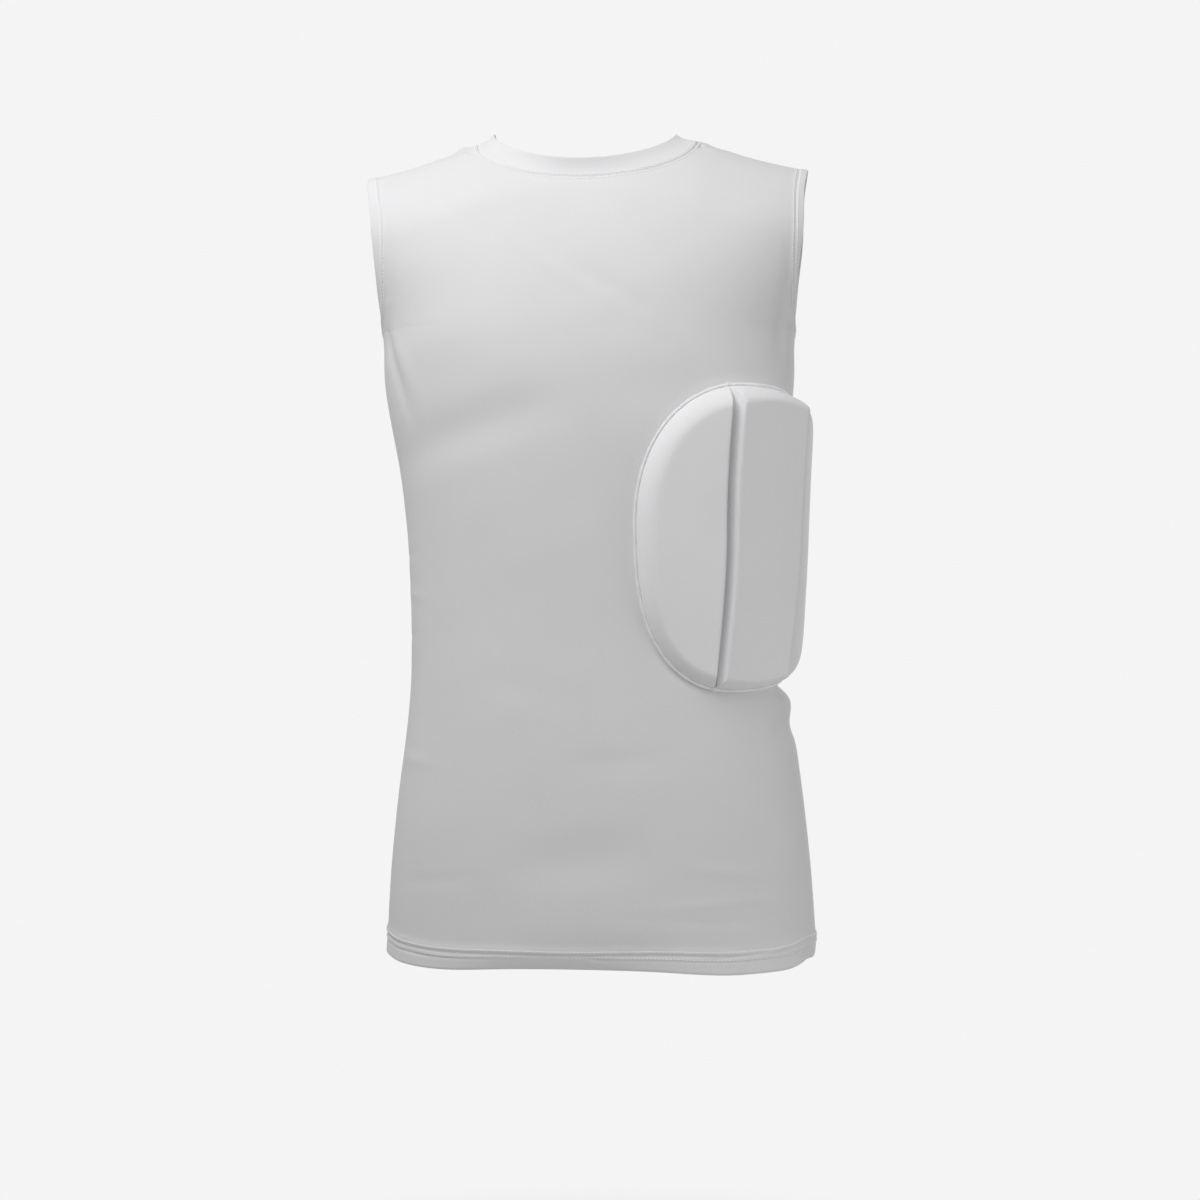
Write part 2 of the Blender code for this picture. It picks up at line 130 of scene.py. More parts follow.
# A groove's place, the widths of the bevels at its front and back, and their foot's share of the foam.
Groove = namedtuple("Groove", "across front_bevel back_bevel foot")
FRONT_GROOVE = Groove(-0.015, 0.0020, 0.0052, 0.10)
BACK_GROOVE = Groove(0.046, 0.0012, 0.0012, 0.93)
SIDE_BEAD = 0.0004  # rise of the cover along both edges of the side pad

# -------------------- sizes of the dressing

# Distances of a panel's first columns from its side edges; they lie close there for the seams.
EDGE_STEPS = np.array([0, 0.4, 0.8, 1.2, 1.7, 2.3, 3.0, 4.0, 5.5]) * MM
# Distances of the hem's first rows from its edge, where the cloth's fold is round.
FOLD_STEPS = np.array([0, 0.1, 0.3, 0.6, 1.1]) * MM
HEM_ROW_STEP = 0.8 * MM
HEM_ROWS_END = 30 * MM
PANEL_COLUMNS = 150
TRUNK_ROWS = 160
ARMHOLE_ROWS = 52
# Shares of the way from the shoulder's tip to the neck seam; they lie close at the neck.
SHOULDER_SHARES = np.concatenate(
    [
        np.linspace(0, 0.9, 24)[1:],
        1 - np.array([85, 70, 56, 44, 34, 26, 20, 15, 11, 8, 5, 2.5, 0]) / 1000,
    ]
)

SEAM_GROOVE = 0.05 * MM
SEAM_RIDGE = 0.25 * MM
STITCHES_FROM_SEAM = 2.0 * MM

NEEDLE_ROW = HEM_DEPTH + 1.2 * MM  # the hem's upper row of stitches, from its edge
NEEDLE_GAP = 6.5 * MM
TUNNEL = 0.95 * MM  # how far the cloth stands out at the upper row
TUNNEL_WIDTHS = (3.4 * MM, 1.4 * MM)  # above the row and below it
# Ridges along the hem, by their distance below the upper row of stitches. A negative rise is a channel.
Ridge = namedtuple("Ridge", "rise below width")
HEM_CHANNEL = Ridge(-0.55 * MM, 3.1 * MM, 1.1 * MM)
SECOND_RIDGE = Ridge(0.4 * MM, 5.6 * MM, 1.1 * MM)
LOWER_CREASE = Ridge(-1.0 * MM, NEEDLE_GAP + 1.2 * MM, 1.0 * MM)
# Stretches of the hem, by girth. All but the last are on the front panel only.
Stretch = namedtuple("Stretch", "girth width")
ROLLED = Stretch(-0.018, 0.075)  # where its edge rolls in
LOWERED = Stretch(-0.012, 0.100)  # where its upper row of stitches lies nearer its edge
LEANING = Stretch(0.026, 0.068)  # where the cloth above it leans in
PULLED = Stretch(-0.145, 0.055)  # where its lower row of stitches pulls more
ROW_LOWERED = 3.8 * MM
WEAKER_FROM, WEAKER_OVER = 0.100, 0.045  # the lip and channel weaken to the wearer's left, by girth
LEFT_STRENGTH = 0.25  # what is left of them there
ROLL = 6.0 * MM  # how far the edge rolls in
FLARE = 1.5 * MM  # and how far it stands out elsewhere
LEAN, LEAN_HEIGHT = 3.6 * MM, 28 * MM  # how far the cloth leans in, and from how far above the stitches
EDGE_IN, EDGE_IN_HEIGHT = 0.8 * MM, 2.5 * MM  # how far the fold itself turns in
CORNER_CURL, CORNER_CURL_HEIGHT = 4.2 * MM, 17 * MM  # how far the corners turn in
CORNERS_FROM, CORNERS_OVER = 0.185, 0.025  # by girth

FLANGE = 0.8 * MM  # rise of the cloth over the guard's seam allowance
FLANGE_END, FLANGE_SLOPE = 7.5 * MM, 4.5 * MM  # its reach from the guard, and the slope's part of it
DIP, DIP_OUT, DIP_WIDTH = 1.2 * MM, 4.5 * MM, 2.5 * MM  # the cloth pulled in beside the guard's lower edge
NOTCH = 10 * MM  # how far the cloth is drawn in below the guard's side
NOTCH_UP = -0.117
NOTCH_WIDTHS = (9.5 * MM, 24 * MM)  # below its middle and above it
# What follows the notch further down, by distance below its middle.
BELOW_NOTCH = (Ridge(0.8 * MM, 20 * MM, 8 * MM), Ridge(-2.8 * MM, 37 * MM, 11 * MM))

STITCH_LENGTH = 2.6 * MM
STITCH_PITCH = 3.2 * MM
THREAD = 0.32 * MM


def spline_slopes(places, values):
    """Slopes of the smoothest curve through points."""
    span = np.diff(places)
    steep = np.diff(values) / span
    matrix = np.zeros((len(values), len(values)))
    wanted = np.zeros(len(values))
    for k in range(1, len(values) - 1):
        matrix[k, k - 1 : k + 2] = span[k], 2 * (span[k - 1] + span[k]), span[k - 1]
        wanted[k] = 3 * (span[k] * steep[k - 1] + span[k - 1] * steep[k])
    matrix[0, :2], wanted[0] = (2, 1), 3 * steep[0]
    matrix[-1, -2:], wanted[-1] = (1, 2), 3 * steep[-1]
    return np.linalg.solve(matrix, wanted)


def read_table(rows, column, at):
    """A table's column at each place, on a smooth curve through its rows. The first column is the place."""
    places = np.array([row[0] for row in rows])
    values = np.array([getattr(row, column) for row in rows])
    slopes = spline_slopes(places, values)
    at = np.clip(at, places[0], places[-1])
    k = np.clip(np.searchsorted(places, at, side="right") - 1, 0, len(rows) - 2)
    span = places[k + 1] - places[k]
    t = (at - places[k]) / span
    return (
        values[k] * (1 + 2 * t) * (1 - t) ** 2
        + slopes[k] * span * t * (1 - t) ** 2
        + values[k + 1] * t * t * (3 - 2 * t)
        - slopes[k + 1] * span * t * t * (1 - t)
    )


def quarter_round(share):
    """Height of a rounded edge, from 0 at its foot to 1 where share reaches 1."""
    return np.sqrt(1 - (1 - np.clip(share, 0, 1)) ** 2)


def bump(distance, width):
    """A smooth bump, 1 at no distance."""
    return np.exp(-((distance / width) ** 2))


def smooth_step(share):
    share = np.clip(share, 0, 1)
    return share * share * (3 - 2 * share)


def ridge_height(x):
    """Height of the shoulder line over x, carried smoothly across the neck."""
    share = np.clip(x / NECK_HALF, -1, 1)
    slope = (SHOULDER_SLOPE[1] * (1 + share) + SHOULDER_SLOPE[-1] * (1 - share)) / 2
    over_neck = (NECK_HALF**2 - x**2) / (2 * NECK_HALF)
    past = np.maximum(np.abs(x) - NECK_HALF, 0)
    bend = SHOULDER_BEND * past * (past - SHOULDER_FLAT)
    return np.where(np.abs(x) < NECK_HALF, over_neck, -past) * slope + bend


def body_points(x, z, side):
    """Points of the body's surface, half a seam gap clear of the side and shoulder seams."""
    depth = read_table(RINGS, "front" if side == FRONT else "back", z)
    reach = np.minimum(
        np.abs(x - read_table(RINGS, "centre", z)) / read_table(RINGS, "half_width", z), 1
    )
    across = (1 - reach**SQUARENESS) ** (1 / SQUARENESS)
    out = depth * across * quarter_round((ridge_height(x) - z) / SHOULDER_ROLL)
    return np.stack([x, side * np.maximum(out, SEAM_GAP / 2), z], axis=-1)


def across_share(share):
    """Places across a ring from -1 to 1, spaced evenly round its oval."""
    turn = np.cos(math.pi * (1 - share))
    return np.copysign(np.abs(turn) ** (2 / SQUARENESS), turn)


def armhole_place(ring, hand, share):
    """(x, z) on an armhole ring, from the underarm (0) to the shoulder line (1)."""
    column = HAND_NAMES[hand] + "_" + ring
    bottom, top = UNDERARM[ring], ridge_height(hand * getattr(ARMHOLE[-1], column))
    climb = (1 - np.cos(math.pi * share)) / 2
    z = bottom + (top - bottom) * climb
    return read_table(RINGS, "centre", z) + hand * read_table(ARMHOLE, column, climb), z


# -------------------- grids of points


def lengths_along(points, axis):
    """Distance along a grid's rows (axis 1) or columns (axis 0) from their first point."""
    steps = np.linalg.norm(np.diff(points, axis=axis), axis=2)
    start = np.zeros_like(points[..., 0].take([0], axis=axis))
    return np.concatenate([start, np.cumsum(steps, axis=axis)], axis=axis)


def line_lengths(points):
    """Distance along a line of points from its first."""
    return np.concatenate([[0], np.cumsum(np.linalg.norm(np.diff(points, axis=0), axis=1))])


def ring_lengths(points):
    """Distance round a closed line from its first point to the one after each."""
    return np.cumsum(np.linalg.norm(np.roll(points, -1, axis=0) - points, axis=1))


def grid_normals(points, side, wrap=False):
    """Normals of a grid whose rows run to the wearer's left and whose columns run up."""
    if wrap:
        along = np.roll(points, -1, axis=1) - np.roll(points, 1, axis=1)
    else:
        along = np.gradient(points, axis=1)
    normal = np.cross(along, np.gradient(points, axis=0)) * -side
    length = np.linalg.norm(normal, axis=2, keepdims=True)
    return normal / np.maximum(length, 1e-12)


def lay_faces(rows, columns, start, wrap, turned):
    """Quads of one grid of points, numbered from start."""
    last = columns if wrap else columns - 1
    row, column = np.meshgrid(np.arange(rows - 1), np.arange(last), indexing="ij")
    beside = (column + 1) % columns
    corners = [
        row * columns + column,
        row * columns + beside,
        (row + 1) * columns + beside,
        (row + 1) * columns + column,
    ]
    faces = np.stack(corners, axis=-1).reshape(-1, 4) + start
    return faces[:, ::-1] if turned else faces


def rim_faces(loop, other, turned):
    """Quads between two matching lists of point numbers."""
    faces = np.stack([loop[:-1], other[:-1], other[1:], loop[1:]], axis=-1)
    return faces[:, ::-1] if turned else faces


def smooth_piece(name, mesh, material, join=0):
    """A smooth object whose faces look outward. Points closer together than join become one."""
    shape = bmesh.new()
    shape.from_mesh(mesh)
    if join:
        bmesh.ops.remove_doubles(shape, verts=shape.verts, dist=join)
    bmesh.ops.recalc_face_normals(shape, faces=shape.faces)
    shape.to_mesh(mesh)
    shape.free()
    mesh.shade_smooth()
    mesh.materials.append(material)
    piece = bpy.data.objects.new(name, mesh)
    bpy.context.scene.collection.objects.link(piece)
    return piece


def make_mesh(name, points, faces, uv, material):
    """A smooth mesh object from arrays, with its cloth measures in metres as a UV map."""
    mesh = bpy.data.meshes.new(name)
    mesh.from_pydata(points.reshape(-1, 3).tolist(), [], faces.tolist())
    layer = mesh.uv_layers.new(name="cloth")
    corner_points = np.zeros(len(mesh.loops), np.int32)
    mesh.loops.foreach_get("vertex_index", corner_points)
    layer.uv.foreach_set("vector", uv.reshape(-1, 2)[corner_points].astype(np.float32).ravel())
    return smooth_piece(name, mesh, material, join=0.001 * MM)


def closed_cloth(name, outer, inner, uv, material, wrap=False):
    """A thin closed piece between two matching grids of points."""
    rows, columns = outer.shape[:2]
    count = rows * columns
    number = np.arange(count).reshape(rows, columns)
    faces = [
        lay_faces(rows, columns, 0, wrap, False),
        lay_faces(rows, columns, count, wrap, True),
    ]
    ends = [(number[0], True), (number[-1], False)]
    if wrap:
        ends = [(np.append(loop, loop[0]), turned) for loop, turned in ends]
    else:
        ends += [(number[:, 0], False), (number[:, -1], True)]
    for loop, turned in ends:
        faces.append(rim_faces(loop, loop + count, turned))
    points = np.concatenate([outer.reshape(-1, 3), inner.reshape(-1, 3)])
    both_uv = np.concatenate([uv.reshape(-1, 2), uv.reshape(-1, 2)])
    return make_mesh(name, points, np.concatenate(faces), both_uv, material)


def thickened(base, normal, relief, thickness, from_edge):
    """Outer and inner grids of a cloth wall on the body, with its open edges folded round.
    from_edge is the distance to the nearest folded edge."""
    full = np.broadcast_to(thickness, relief.shape)
    half = full / 2 * quarter_round(from_edge / (full / 2))
    middle = base + normal * (full / 2 + relief)[..., None]
    return middle + normal * half[..., None], middle - normal * half[..., None]


# -------------------- the guard's place on the body


def side_frame(angle, z):
    """Points and normals of the body below the armholes. angle is 0 at the wearer's left."""

    def on_ring(angle, z):
        power = 2 / SQUARENESS
        front = angle >= 0
        depth = np.where(front, read_table(RINGS, "front", z), read_table(RINGS, "back", z))
        half_width = read_table(RINGS, "half_width", z)
        x = read_table(RINGS, "centre", z) + half_width * np.cos(angle) ** power
        y = np.where(front, FRONT, BACK) * depth * np.abs(np.sin(angle)) ** power
        return np.stack([x, y, z], axis=-1)

    step = 0.01
    around = on_ring(angle - step, z) - on_ring(angle + step, z)
    upward = on_ring(angle, z + step) - on_ring(angle, z - step)
    normal = np.cross(around, upward)
    return on_ring(angle, z), normal / np.linalg.norm(normal, axis=-1, keepdims=True)


def guard_angles():
    """Arc lengths round the ring at the guard's middle, from GUARD_ANGLE towards the back, by angle."""
    angles = np.radians(np.arange(88, -60, -1.0))
    points, _ = side_frame(angles, np.full(len(angles), GUARD_Z))
    lengths = line_lengths(points)
    return lengths - np.interp(-GUARD_ANGLE, -angles, lengths), angles


ARC_LENGTHS, ARC_ANGLES = guard_angles()


def guard_lean(up):
    return GUARD_LEAN * np.maximum(0, -up / GUARD_HALF_HEIGHT) ** 1.5


def guard_frame(across, up):
    """Points and normals of the body under places of the guard's flat drawing."""
    angle = np.interp(across - guard_lean(up), ARC_LENGTHS, ARC_ANGLES)
    return side_frame(angle, GUARD_Z + up)


def guard_places(points, side):
    """Places (across, up) in the guard's drawing of points on one side of the body."""
    z = points[..., 2]
    reach = (points[..., 0] - read_table(RINGS, "centre", z)) / read_table(RINGS, "half_width", z)
    angle = -side * np.arccos(np.clip(reach, 0, 1) ** (SQUARENESS / 2))
    up = z - GUARD_Z
    return np.interp(-angle, -ARC_ANGLES, ARC_LENGTHS) + guard_lean(up), up


def guard_outline(turn):
    """(across, up) on the guard's outline. turn is 0 at its back, a quarter at its top."""
    c, s = np.cos(turn), np.sin(turn)
    back = c > 0
    reach = np.where(back, GUARD_REACH[BACK], GUARD_REACH[FRONT])
    power = 2 / np.where(back, GUARD_SQUARENESS[BACK], GUARD_SQUARENESS[FRONT])
    across = reach * np.copysign(np.abs(c) ** power, c)
    return np.stack([across, GUARD_HALF_HEIGHT * np.copysign(np.abs(s) ** power, s)], axis=-1)


OUTLINE = guard_outline(np.linspace(0, 2 * math.pi, 721))


def even_turns(first, last, count):
    """Turns from one to another that lie evenly along the guard's outline."""
    turn = np.linspace(first, last, 2001)
    lengths = line_lengths(guard_outline(turn))
    return np.interp(np.linspace(0, lengths[-1], count), lengths, turn)


def outline_distance(across, up):
    """Distance of places in the drawing from the guard's outline, negative inside it."""
    spots = np.stack([across, up], axis=-1).reshape(-1, 1, 2)
    start, step = OUTLINE[:-1], np.diff(OUTLINE, axis=0)
    nearest = np.full(len(spots), np.inf)
    for part in np.array_split(np.arange(len(start)), 12):
        away = spots - start[part]
        along = np.clip((away * step[part]).sum(2) / (step[part] ** 2).sum(1), 0, 1)
        distance = np.linalg.norm(away - along[..., None] * step[part], axis=2)
        nearest = np.minimum(nearest, distance.min(axis=1))
    back = across > 0
    reach = np.where(back, GUARD_REACH[BACK], GUARD_REACH[FRONT])
    power = np.where(back, GUARD_SQUARENESS[BACK], GUARD_SQUARENESS[FRONT])
    inside = np.abs(across / reach) ** power + np.abs(up / GUARD_HALF_HEIGHT) ** power < 1
    return nearest.reshape(across.shape) * np.where(inside, -1, 1)


# -------------------- front and back panels

# Soft folds of each panel, in millimetres, placed by girth, from the middle of the panel to the wearer's
# left, and z. turn is the fold's direction in degrees from level, and a negative rise is a trough. bend
# is not in millimetres: a fold lies bend times the square of the way along it, in metres, off its line.
Fold = namedtuple("Fold", "girth z turn length width rise bend")
FOLDS = {
    FRONT: [
        # across the chest and under the arms
        Fold(-83, -243, 17, 220, 23, -2.6, 0),
        Fold(-112, -168, 8, 170, 28, 1.7, 0),
        Fold(60, -215, -8, 180, 22, -0.8, 0.4),
        Fold(-165, -196, -66, 120, 7, -1.8, 0),
        Fold(-152, -190, -62, 90, 8, 0.9, 0),
        Fold(181, -140, 84, 130, 11, -3, 0),
        Fold(28, -133, -30, 110, 9, -0.6, 0),
        Fold(-30, -110, -38, 90, 8, 0.4, 1),
        Fold(-172, -139, 4, 36, 2, 0.5, 0),
        Fold(-176, -131, -12, 26, 1.8, -0.5, 0),
        Fold(176, -150, 14, 30, 2.2, 0.6, 0),
        Fold(170, -128, 24, 28, 2, -0.5, 0),
        # at the ends of the shoulder seams beside the neck
        Fold(-125, -8.5, -16, 34, 1.5, -1.5, 0),
        Fold(-121, -12, -20, 26, 1.4, 0.8, 0),
        Fold(123, -6, 24, 18, 1.6, -1.1, 0),
        Fold(128, -11, -20, 20, 1.8, 0.8, 0),
        # round the waist
        Fold(-168, -345, 6, 60, 4.5, -0.5, 0.5),
        Fold(-160, -378, -4, 75, 5, 0.5, -0.6),
        Fold(-172, -412, 7, 50, 4, -0.5, 0.8),
        Fold(-150, -514, -3, 70, 6, 0.7, 0.4),
        Fold(-40, -455, -10, 120, 14, -0.4, 0.5),
        Fold(30, -512, 3, 140, 12, -0.6, -0.3),
        Fold(1, -592, 4, 170, 24, -1.8, 0),
        Fold(120, -600, -4, 120, 6, 0.5, 0.3),
        Fold(112, -626, 3, 170, 4.5, 0.5, -0.2),
        Fold(98, -640, -2, 150, 4, -0.5, 0.2),
        Fold(-120, -610, 5, 110, 6, -0.5, 0.4),
        # below the guard's side and at the foot of its deep groove
        Fold(190, -462, -48, 22, 1.7, -1, 0),
        Fold(196, -468, -40, 24, 1.8, 0.7, 0),
        Fold(183, -470, -62, 26, 2, -0.7, 0),
        Fold(103, -462, -62, 14, 1.3, -0.7, 0),
        Fold(108, -461, -96, 12, 1.2, 0.6, 0),
        Fold(112, -462, -122, 14, 1.3, -0.6, 0),
        # puckers of the hem
        Fold(16, -671, -6, 28, 1.4, -0.8, 0),
        Fold(22, -668.5, 14, 18, 1.2, 0.5, 0),
        Fold(-156, -659.5, 24, 14, 1.4, 0.7, 0),
        Fold(-146, -669, -8, 30, 1.3, -0.5, 0),
        Fold(122, -669, 5, 60, 1.4, -0.6, 0.2),
        Fold(165, -664, 16, 40, 1.3, 0.5, 0),
    ],
    BACK: [
        # at the ends of the shoulder seams beside the neck
        Fold(119, -12, 30, 18, 1.8, -0.9, 0),
        # round the waist
        Fold(-140, -340, -7, 90, 6, -0.9, -0.7),
        Fold(-110, -372, 5, 120, 6.5, 0.8, 0.5),
        Fold(20, -390, 3, 160, 8.5, -1.2, -0.6),
        Fold(-30, -425, -6, 130, 7.5, -0.9, 0.5),
        Fold(110, -440, 9, 100, 6, 0.8, -0.5),
        Fold(60, -520, -8, 150, 10, -0.8, 0.3),
        Fold(-90, -560, 6, 120, 9, -0.7, 0.2),
        Fold(130, -610, 3, 120, 6, 0.6, -0.3),
        # over the shoulder blades and under the arms, behind
        Fold(0, -180, 90, 200, 22, -1.5, 0),
        Fold(-100, -250, 28, 130, 14, -1.2, 0.4),
        Fold(105, -262, -25, 120, 13, -1.1, 0.4),
        Fold(-165, -190, 62, 110, 8, -1.5, 0),
        Fold(168, -185, -60, 100, 8, -1.4, 0),
        Fold(-174, -146, -10, 30, 2, 0.6, 0),
        Fold(175, -150, 12, 28, 2, 0.6, 0),
        # puckers of the hem
        Fold(-120, -667, -6, 50, 1.4, -0.6, 0.2),
        Fold(30, -670, 9, 30, 1.3, 0.6, 0),
        Fold(150, -668, 4, 45, 1.4, -0.6, 0),
    ],
}

# Stretches of the hem that hang lower, by x. Those without a side are on both panels.
HemDrop = namedtuple("HemDrop", "side x width drop")
HEM_DROPS = [
    HemDrop(FRONT, -0.120, 0.045, 0.0032),
    HemDrop(FRONT, 0.118, 0.040, 0.0026),
    HemDrop(None, 0.184, 0.012, -0.0055),
    HemDrop(None, -0.171, 0.013, -0.0045),
    HemDrop(BACK, -0.070, 0.050, 0.0022),
    HemDrop(BACK, 0.090, 0.045, -0.0018),
]
HEM_DROP_HEIGHT = 0.07  # how far up the cloth follows the hem

# Puckers of both panels where the shoulder seams meet the neckband, by x.
Pucker = namedtuple("Pucker", "x width rise")
PUCKERS = [
    Pucker(-0.1050, 0.0055, 0.0036),
    Pucker(-0.0970, 0.0022, -0.0004),
    Pucker(-0.1260, 0.0080, 0.0006),
    Pucker(0.0985, 0.0050, 0.0012),
    Pucker(0.1180, 0.0090, 0.0007),
]

Panel = namedtuple(
    "Panel",
    "side base normal girth from_side from_armhole from_edge from_neck from_hem armhole shoulder",
)
PanelRows = namedtuple("PanelRows", "right_x right_z left_x left_z middle curl")


def panel_rows(side):
    """The ends, middle height and curl of the rows of a panel, from the hem to the neck seam."""
    fine = np.concatenate([FOLD_STEPS, np.arange(1.8 * MM, HEM_ROWS_END, HEM_ROW_STEP)])
    coarse = np.linspace(fine[-1], LENGTH + UNDERARM["seam"], TRUNK_ROWS)[1:]
    trunk = np.concatenate([fine, coarse]) - LENGTH
    tilt = HEM_TILT / 2 * np.maximum(0, (HEM_TILT_FROM - trunk) / (HEM_TILT_FROM + LENGTH))
    share = np.arange(1, ARMHOLE_ROWS + 1) / ARMHOLE_ROWS
    shoulder_x = TIP_HALF + (NECK_HALF - TIP_HALF) * SHOULDER_SHARES
    ends = []
    for hand in (-1, 1):
        z = trunk - hand * tilt
        x = read_table(RINGS, "centre", z) + hand * read_table(RINGS, "half_width", z)
        armhole_x, armhole_z = armhole_place("seam", hand, share)
        ends.append(np.concatenate([x, armhole_x, hand * shoulder_x]))
        ends.append(np.concatenate([z, armhole_z, ridge_height(hand * shoulder_x)]))
    armhole_middle = UNDERARM["seam"] + (TIP_CENTRE_Z - UNDERARM["seam"]) * share
    shoulder_middle = TIP_CENTRE_Z - (TIP_CENTRE_Z + NECK_DROP[side]) * SHOULDER_SHARES
    middle = np.concatenate([trunk, armhole_middle, shoulder_middle])
    curl = np.concatenate([0 * trunk, 0 * share, SHOULDER_SHARES])
    return PanelRows(*ends, middle, curl)


def row_points(rows, side, across):
    """Points of a panel's rows. across, by row and column, is -1 at the wearer's right and 1 at the left."""
    right_x, right_z, left_x, left_z, middle, curl = (values[:, None] for values in rows)
    x = (right_x * (1 - across) + left_x * (1 + across)) / 2
    end_z = np.where(across > 0, left_z, right_z)
    round_rise = 1 - np.sqrt(np.maximum(1 - across**2, 0))
    rise = across**2 * (1 - curl) + round_rise * curl
    follow = smooth_step((HEM_DROP_HEIGHT - LENGTH - middle) / HEM_DROP_HEIGHT)
    drop = sum(row.drop * bump(x - row.x, row.width) for row in HEM_DROPS if row.side in (side, None))
    level = middle + (end_z - middle) * rise
    z = level - drop * follow
    # Where the hem moves the cloth up or down, the side seams still follow the body's width.
    widening = read_table(RINGS, "half_width", z) / read_table(RINGS, "half_width", level)
    off_centre = (x - read_table(RINGS, "centre", level)) * widening
    return body_points(read_table(RINGS, "centre", z) + off_centre, z, side)


def column_places(rows, side):
    """across for each row's columns: close together beside the row's ends, and even between."""
    share = np.linspace(0, 1, 400)
    across = np.tile(across_share(share), (len(rows.middle), 1))
    lengths = lengths_along(row_points(rows, side, across), axis=1)
    between = np.linspace(0, 1, PANEL_COLUMNS - 2 * len(EDGE_STEPS) + 2)[1:-1]
    places = []
    for length in lengths:
        total, inner = length[-1], length[-1] - 2 * EDGE_STEPS[-1]
        wanted = [EDGE_STEPS, EDGE_STEPS[-1] + inner * between, total - EDGE_STEPS[::-1]]
        places.append(across_share(np.interp(np.concatenate(wanted), length, share)))
    return np.array(places)


def oval_normals(points, side):
    """Normals of the body below its shoulders, where each level is an oval."""
    depth_column = "front" if side == FRONT else "back"

    def oval(place):
        x, y, z = place[..., 0], place[..., 1], place[..., 2]
        reach = np.abs(x - read_table(RINGS, "centre", z)) / read_table(RINGS, "half_width", z)
        return reach**SQUARENESS + np.abs(y / read_table(RINGS, depth_column, z)) ** SQUARENESS

    steps = np.eye(3) * 0.01 * MM
    normal = np.stack([oval(points + step) - oval(points - step) for step in steps], axis=-1)
    return normal / np.linalg.norm(normal, axis=-1, keepdims=True)


def armhole_distance(points, side):
    """Distance of a panel's points from the nearer armhole seam."""
    nearest = np.full(points.shape[:2], 1.0)
    for hand in HAND_NAMES:
        ring = body_points(*armhole_place("seam", hand, np.linspace(0, 1, 500)), side)
        near = (points[..., 0] * hand > 0.12) & (points[..., 2] > UNDERARM["seam"] - 0.03)
        nearest[near] = np.linalg.norm(points[near][:, None] - ring, axis=2).min(axis=1)
    return nearest


def make_panel_grid(side):
    """The body's surface under one panel, with each point's distances from the panel's edges."""
    rows = panel_rows(side)
    across = column_places(rows, side)
    base = row_points(rows, side, across)
    along, up = lengths_along(base, axis=1), lengths_along(base, axis=0)
    centre = [np.interp(0, x, length) for x, length in zip(base[..., 0], along)]
    armhole = len(rows.middle) - len(SHOULDER_SHARES) - ARMHOLE_ROWS
    low = smooth_step((-0.10 - base[..., 2:]) / 0.02)
    normal = oval_normals(base, side) * low + grid_normals(base, side) * (1 - low)
    from_side = np.minimum(along, along[:, -1:] - along)
    from_armhole = armhole_distance(base, side)
    return Panel(
        side,
        base,
        normal / np.linalg.norm(normal, axis=2, keepdims=True),
        along - np.array(centre)[:, None],
        from_side,
        from_armhole,
        np.minimum(from_side, from_armhole),
        up[-1] - up,
        up,
        armhole,
        armhole + ARMHOLE_ROWS,
    )


def seam_profile(distance):
    """A shallow groove at a seam, and the ridge that its row of stitches makes beside it."""
    ridge = SEAM_RIDGE * bump(distance - STITCHES_FROM_SEAM, 0.9 * MM)
    return ridge - SEAM_GROOVE * bump(distance, 0.6 * MM)


def seam_relief(panel):
    """Grooves and ridges of the cloth beside its seams."""
    elsewhere = smooth_step(panel.from_armhole / (6 * MM))
    sides = 0.3 * seam_profile(panel.from_side) * elsewhere
    return sides + seam_profile(panel.from_armhole) + seam_profile(panel.from_neck)


def along_front(panel, stretch):
    """1 at the middle of a stretch of the front panel, falling to 0 away from it, and 0 at the back."""
    return bump(panel.girth - stretch.girth, stretch.width) * (panel.side == FRONT)


def ridge_relief(above, ridge):
    """A ridge over heights above the place that its distance is counted from."""
    return ridge.rise * bump(above + ridge.below, ridge.width)


def needle_row(panel):
    """Distance of the hem's upper row of stitches from the edge, less where the hem rolls."""
    return NEEDLE_ROW - ROW_LOWERED * along_front(panel, LOWERED)


def hem_relief(panel):
    """The lip over the upper row of stitches, the channel below it, and the flare of the folded edge."""
    middle = along_front(panel, ROLLED)
    above = panel.from_hem - needle_row(panel)
    tight = 1 - (1 - LEFT_STRENGTH) * smooth_step((panel.girth - WEAKER_FROM) / WEAKER_OVER)
    lip = TUNNEL * tight * bump(above, np.where(above > 0, *TUNNEL_WIDTHS))
    channel = ridge_relief(above, HEM_CHANNEL) * (1 + 0.7 * middle) * tight
    second = ridge_relief(above, SECOND_RIDGE) * (1 - middle)
    pulled = 0.3 + 0.6 * bump(panel.girth - PULLED.girth, PULLED.width)
    crease = ridge_relief(above, LOWER_CREASE) * pulled * (1 - middle)
    down = np.clip(1 - panel.from_hem / (NEEDLE_ROW - 4 * MM), 0, 1)
    flare = (FLARE * (1 - middle) - ROLL * middle) * down**1.5
    edge = EDGE_IN * np.clip(1 - panel.from_hem / EDGE_IN_HEIGHT, 0, 1) ** 2
    at_corners = smooth_step((np.abs(panel.girth) - CORNERS_FROM) / CORNERS_OVER)
    curl = CORNER_CURL * np.clip(1 - panel.from_hem / CORNER_CURL_HEIGHT, 0, 1) ** 1.3 * at_corners
    lean = LEAN * np.clip(1 - np.maximum(above, 0) / LEAN_HEIGHT, 0, 1) ** 2
    return lip + channel + second + crease + flare - edge - curl - lean * along_front(panel, LEANING)


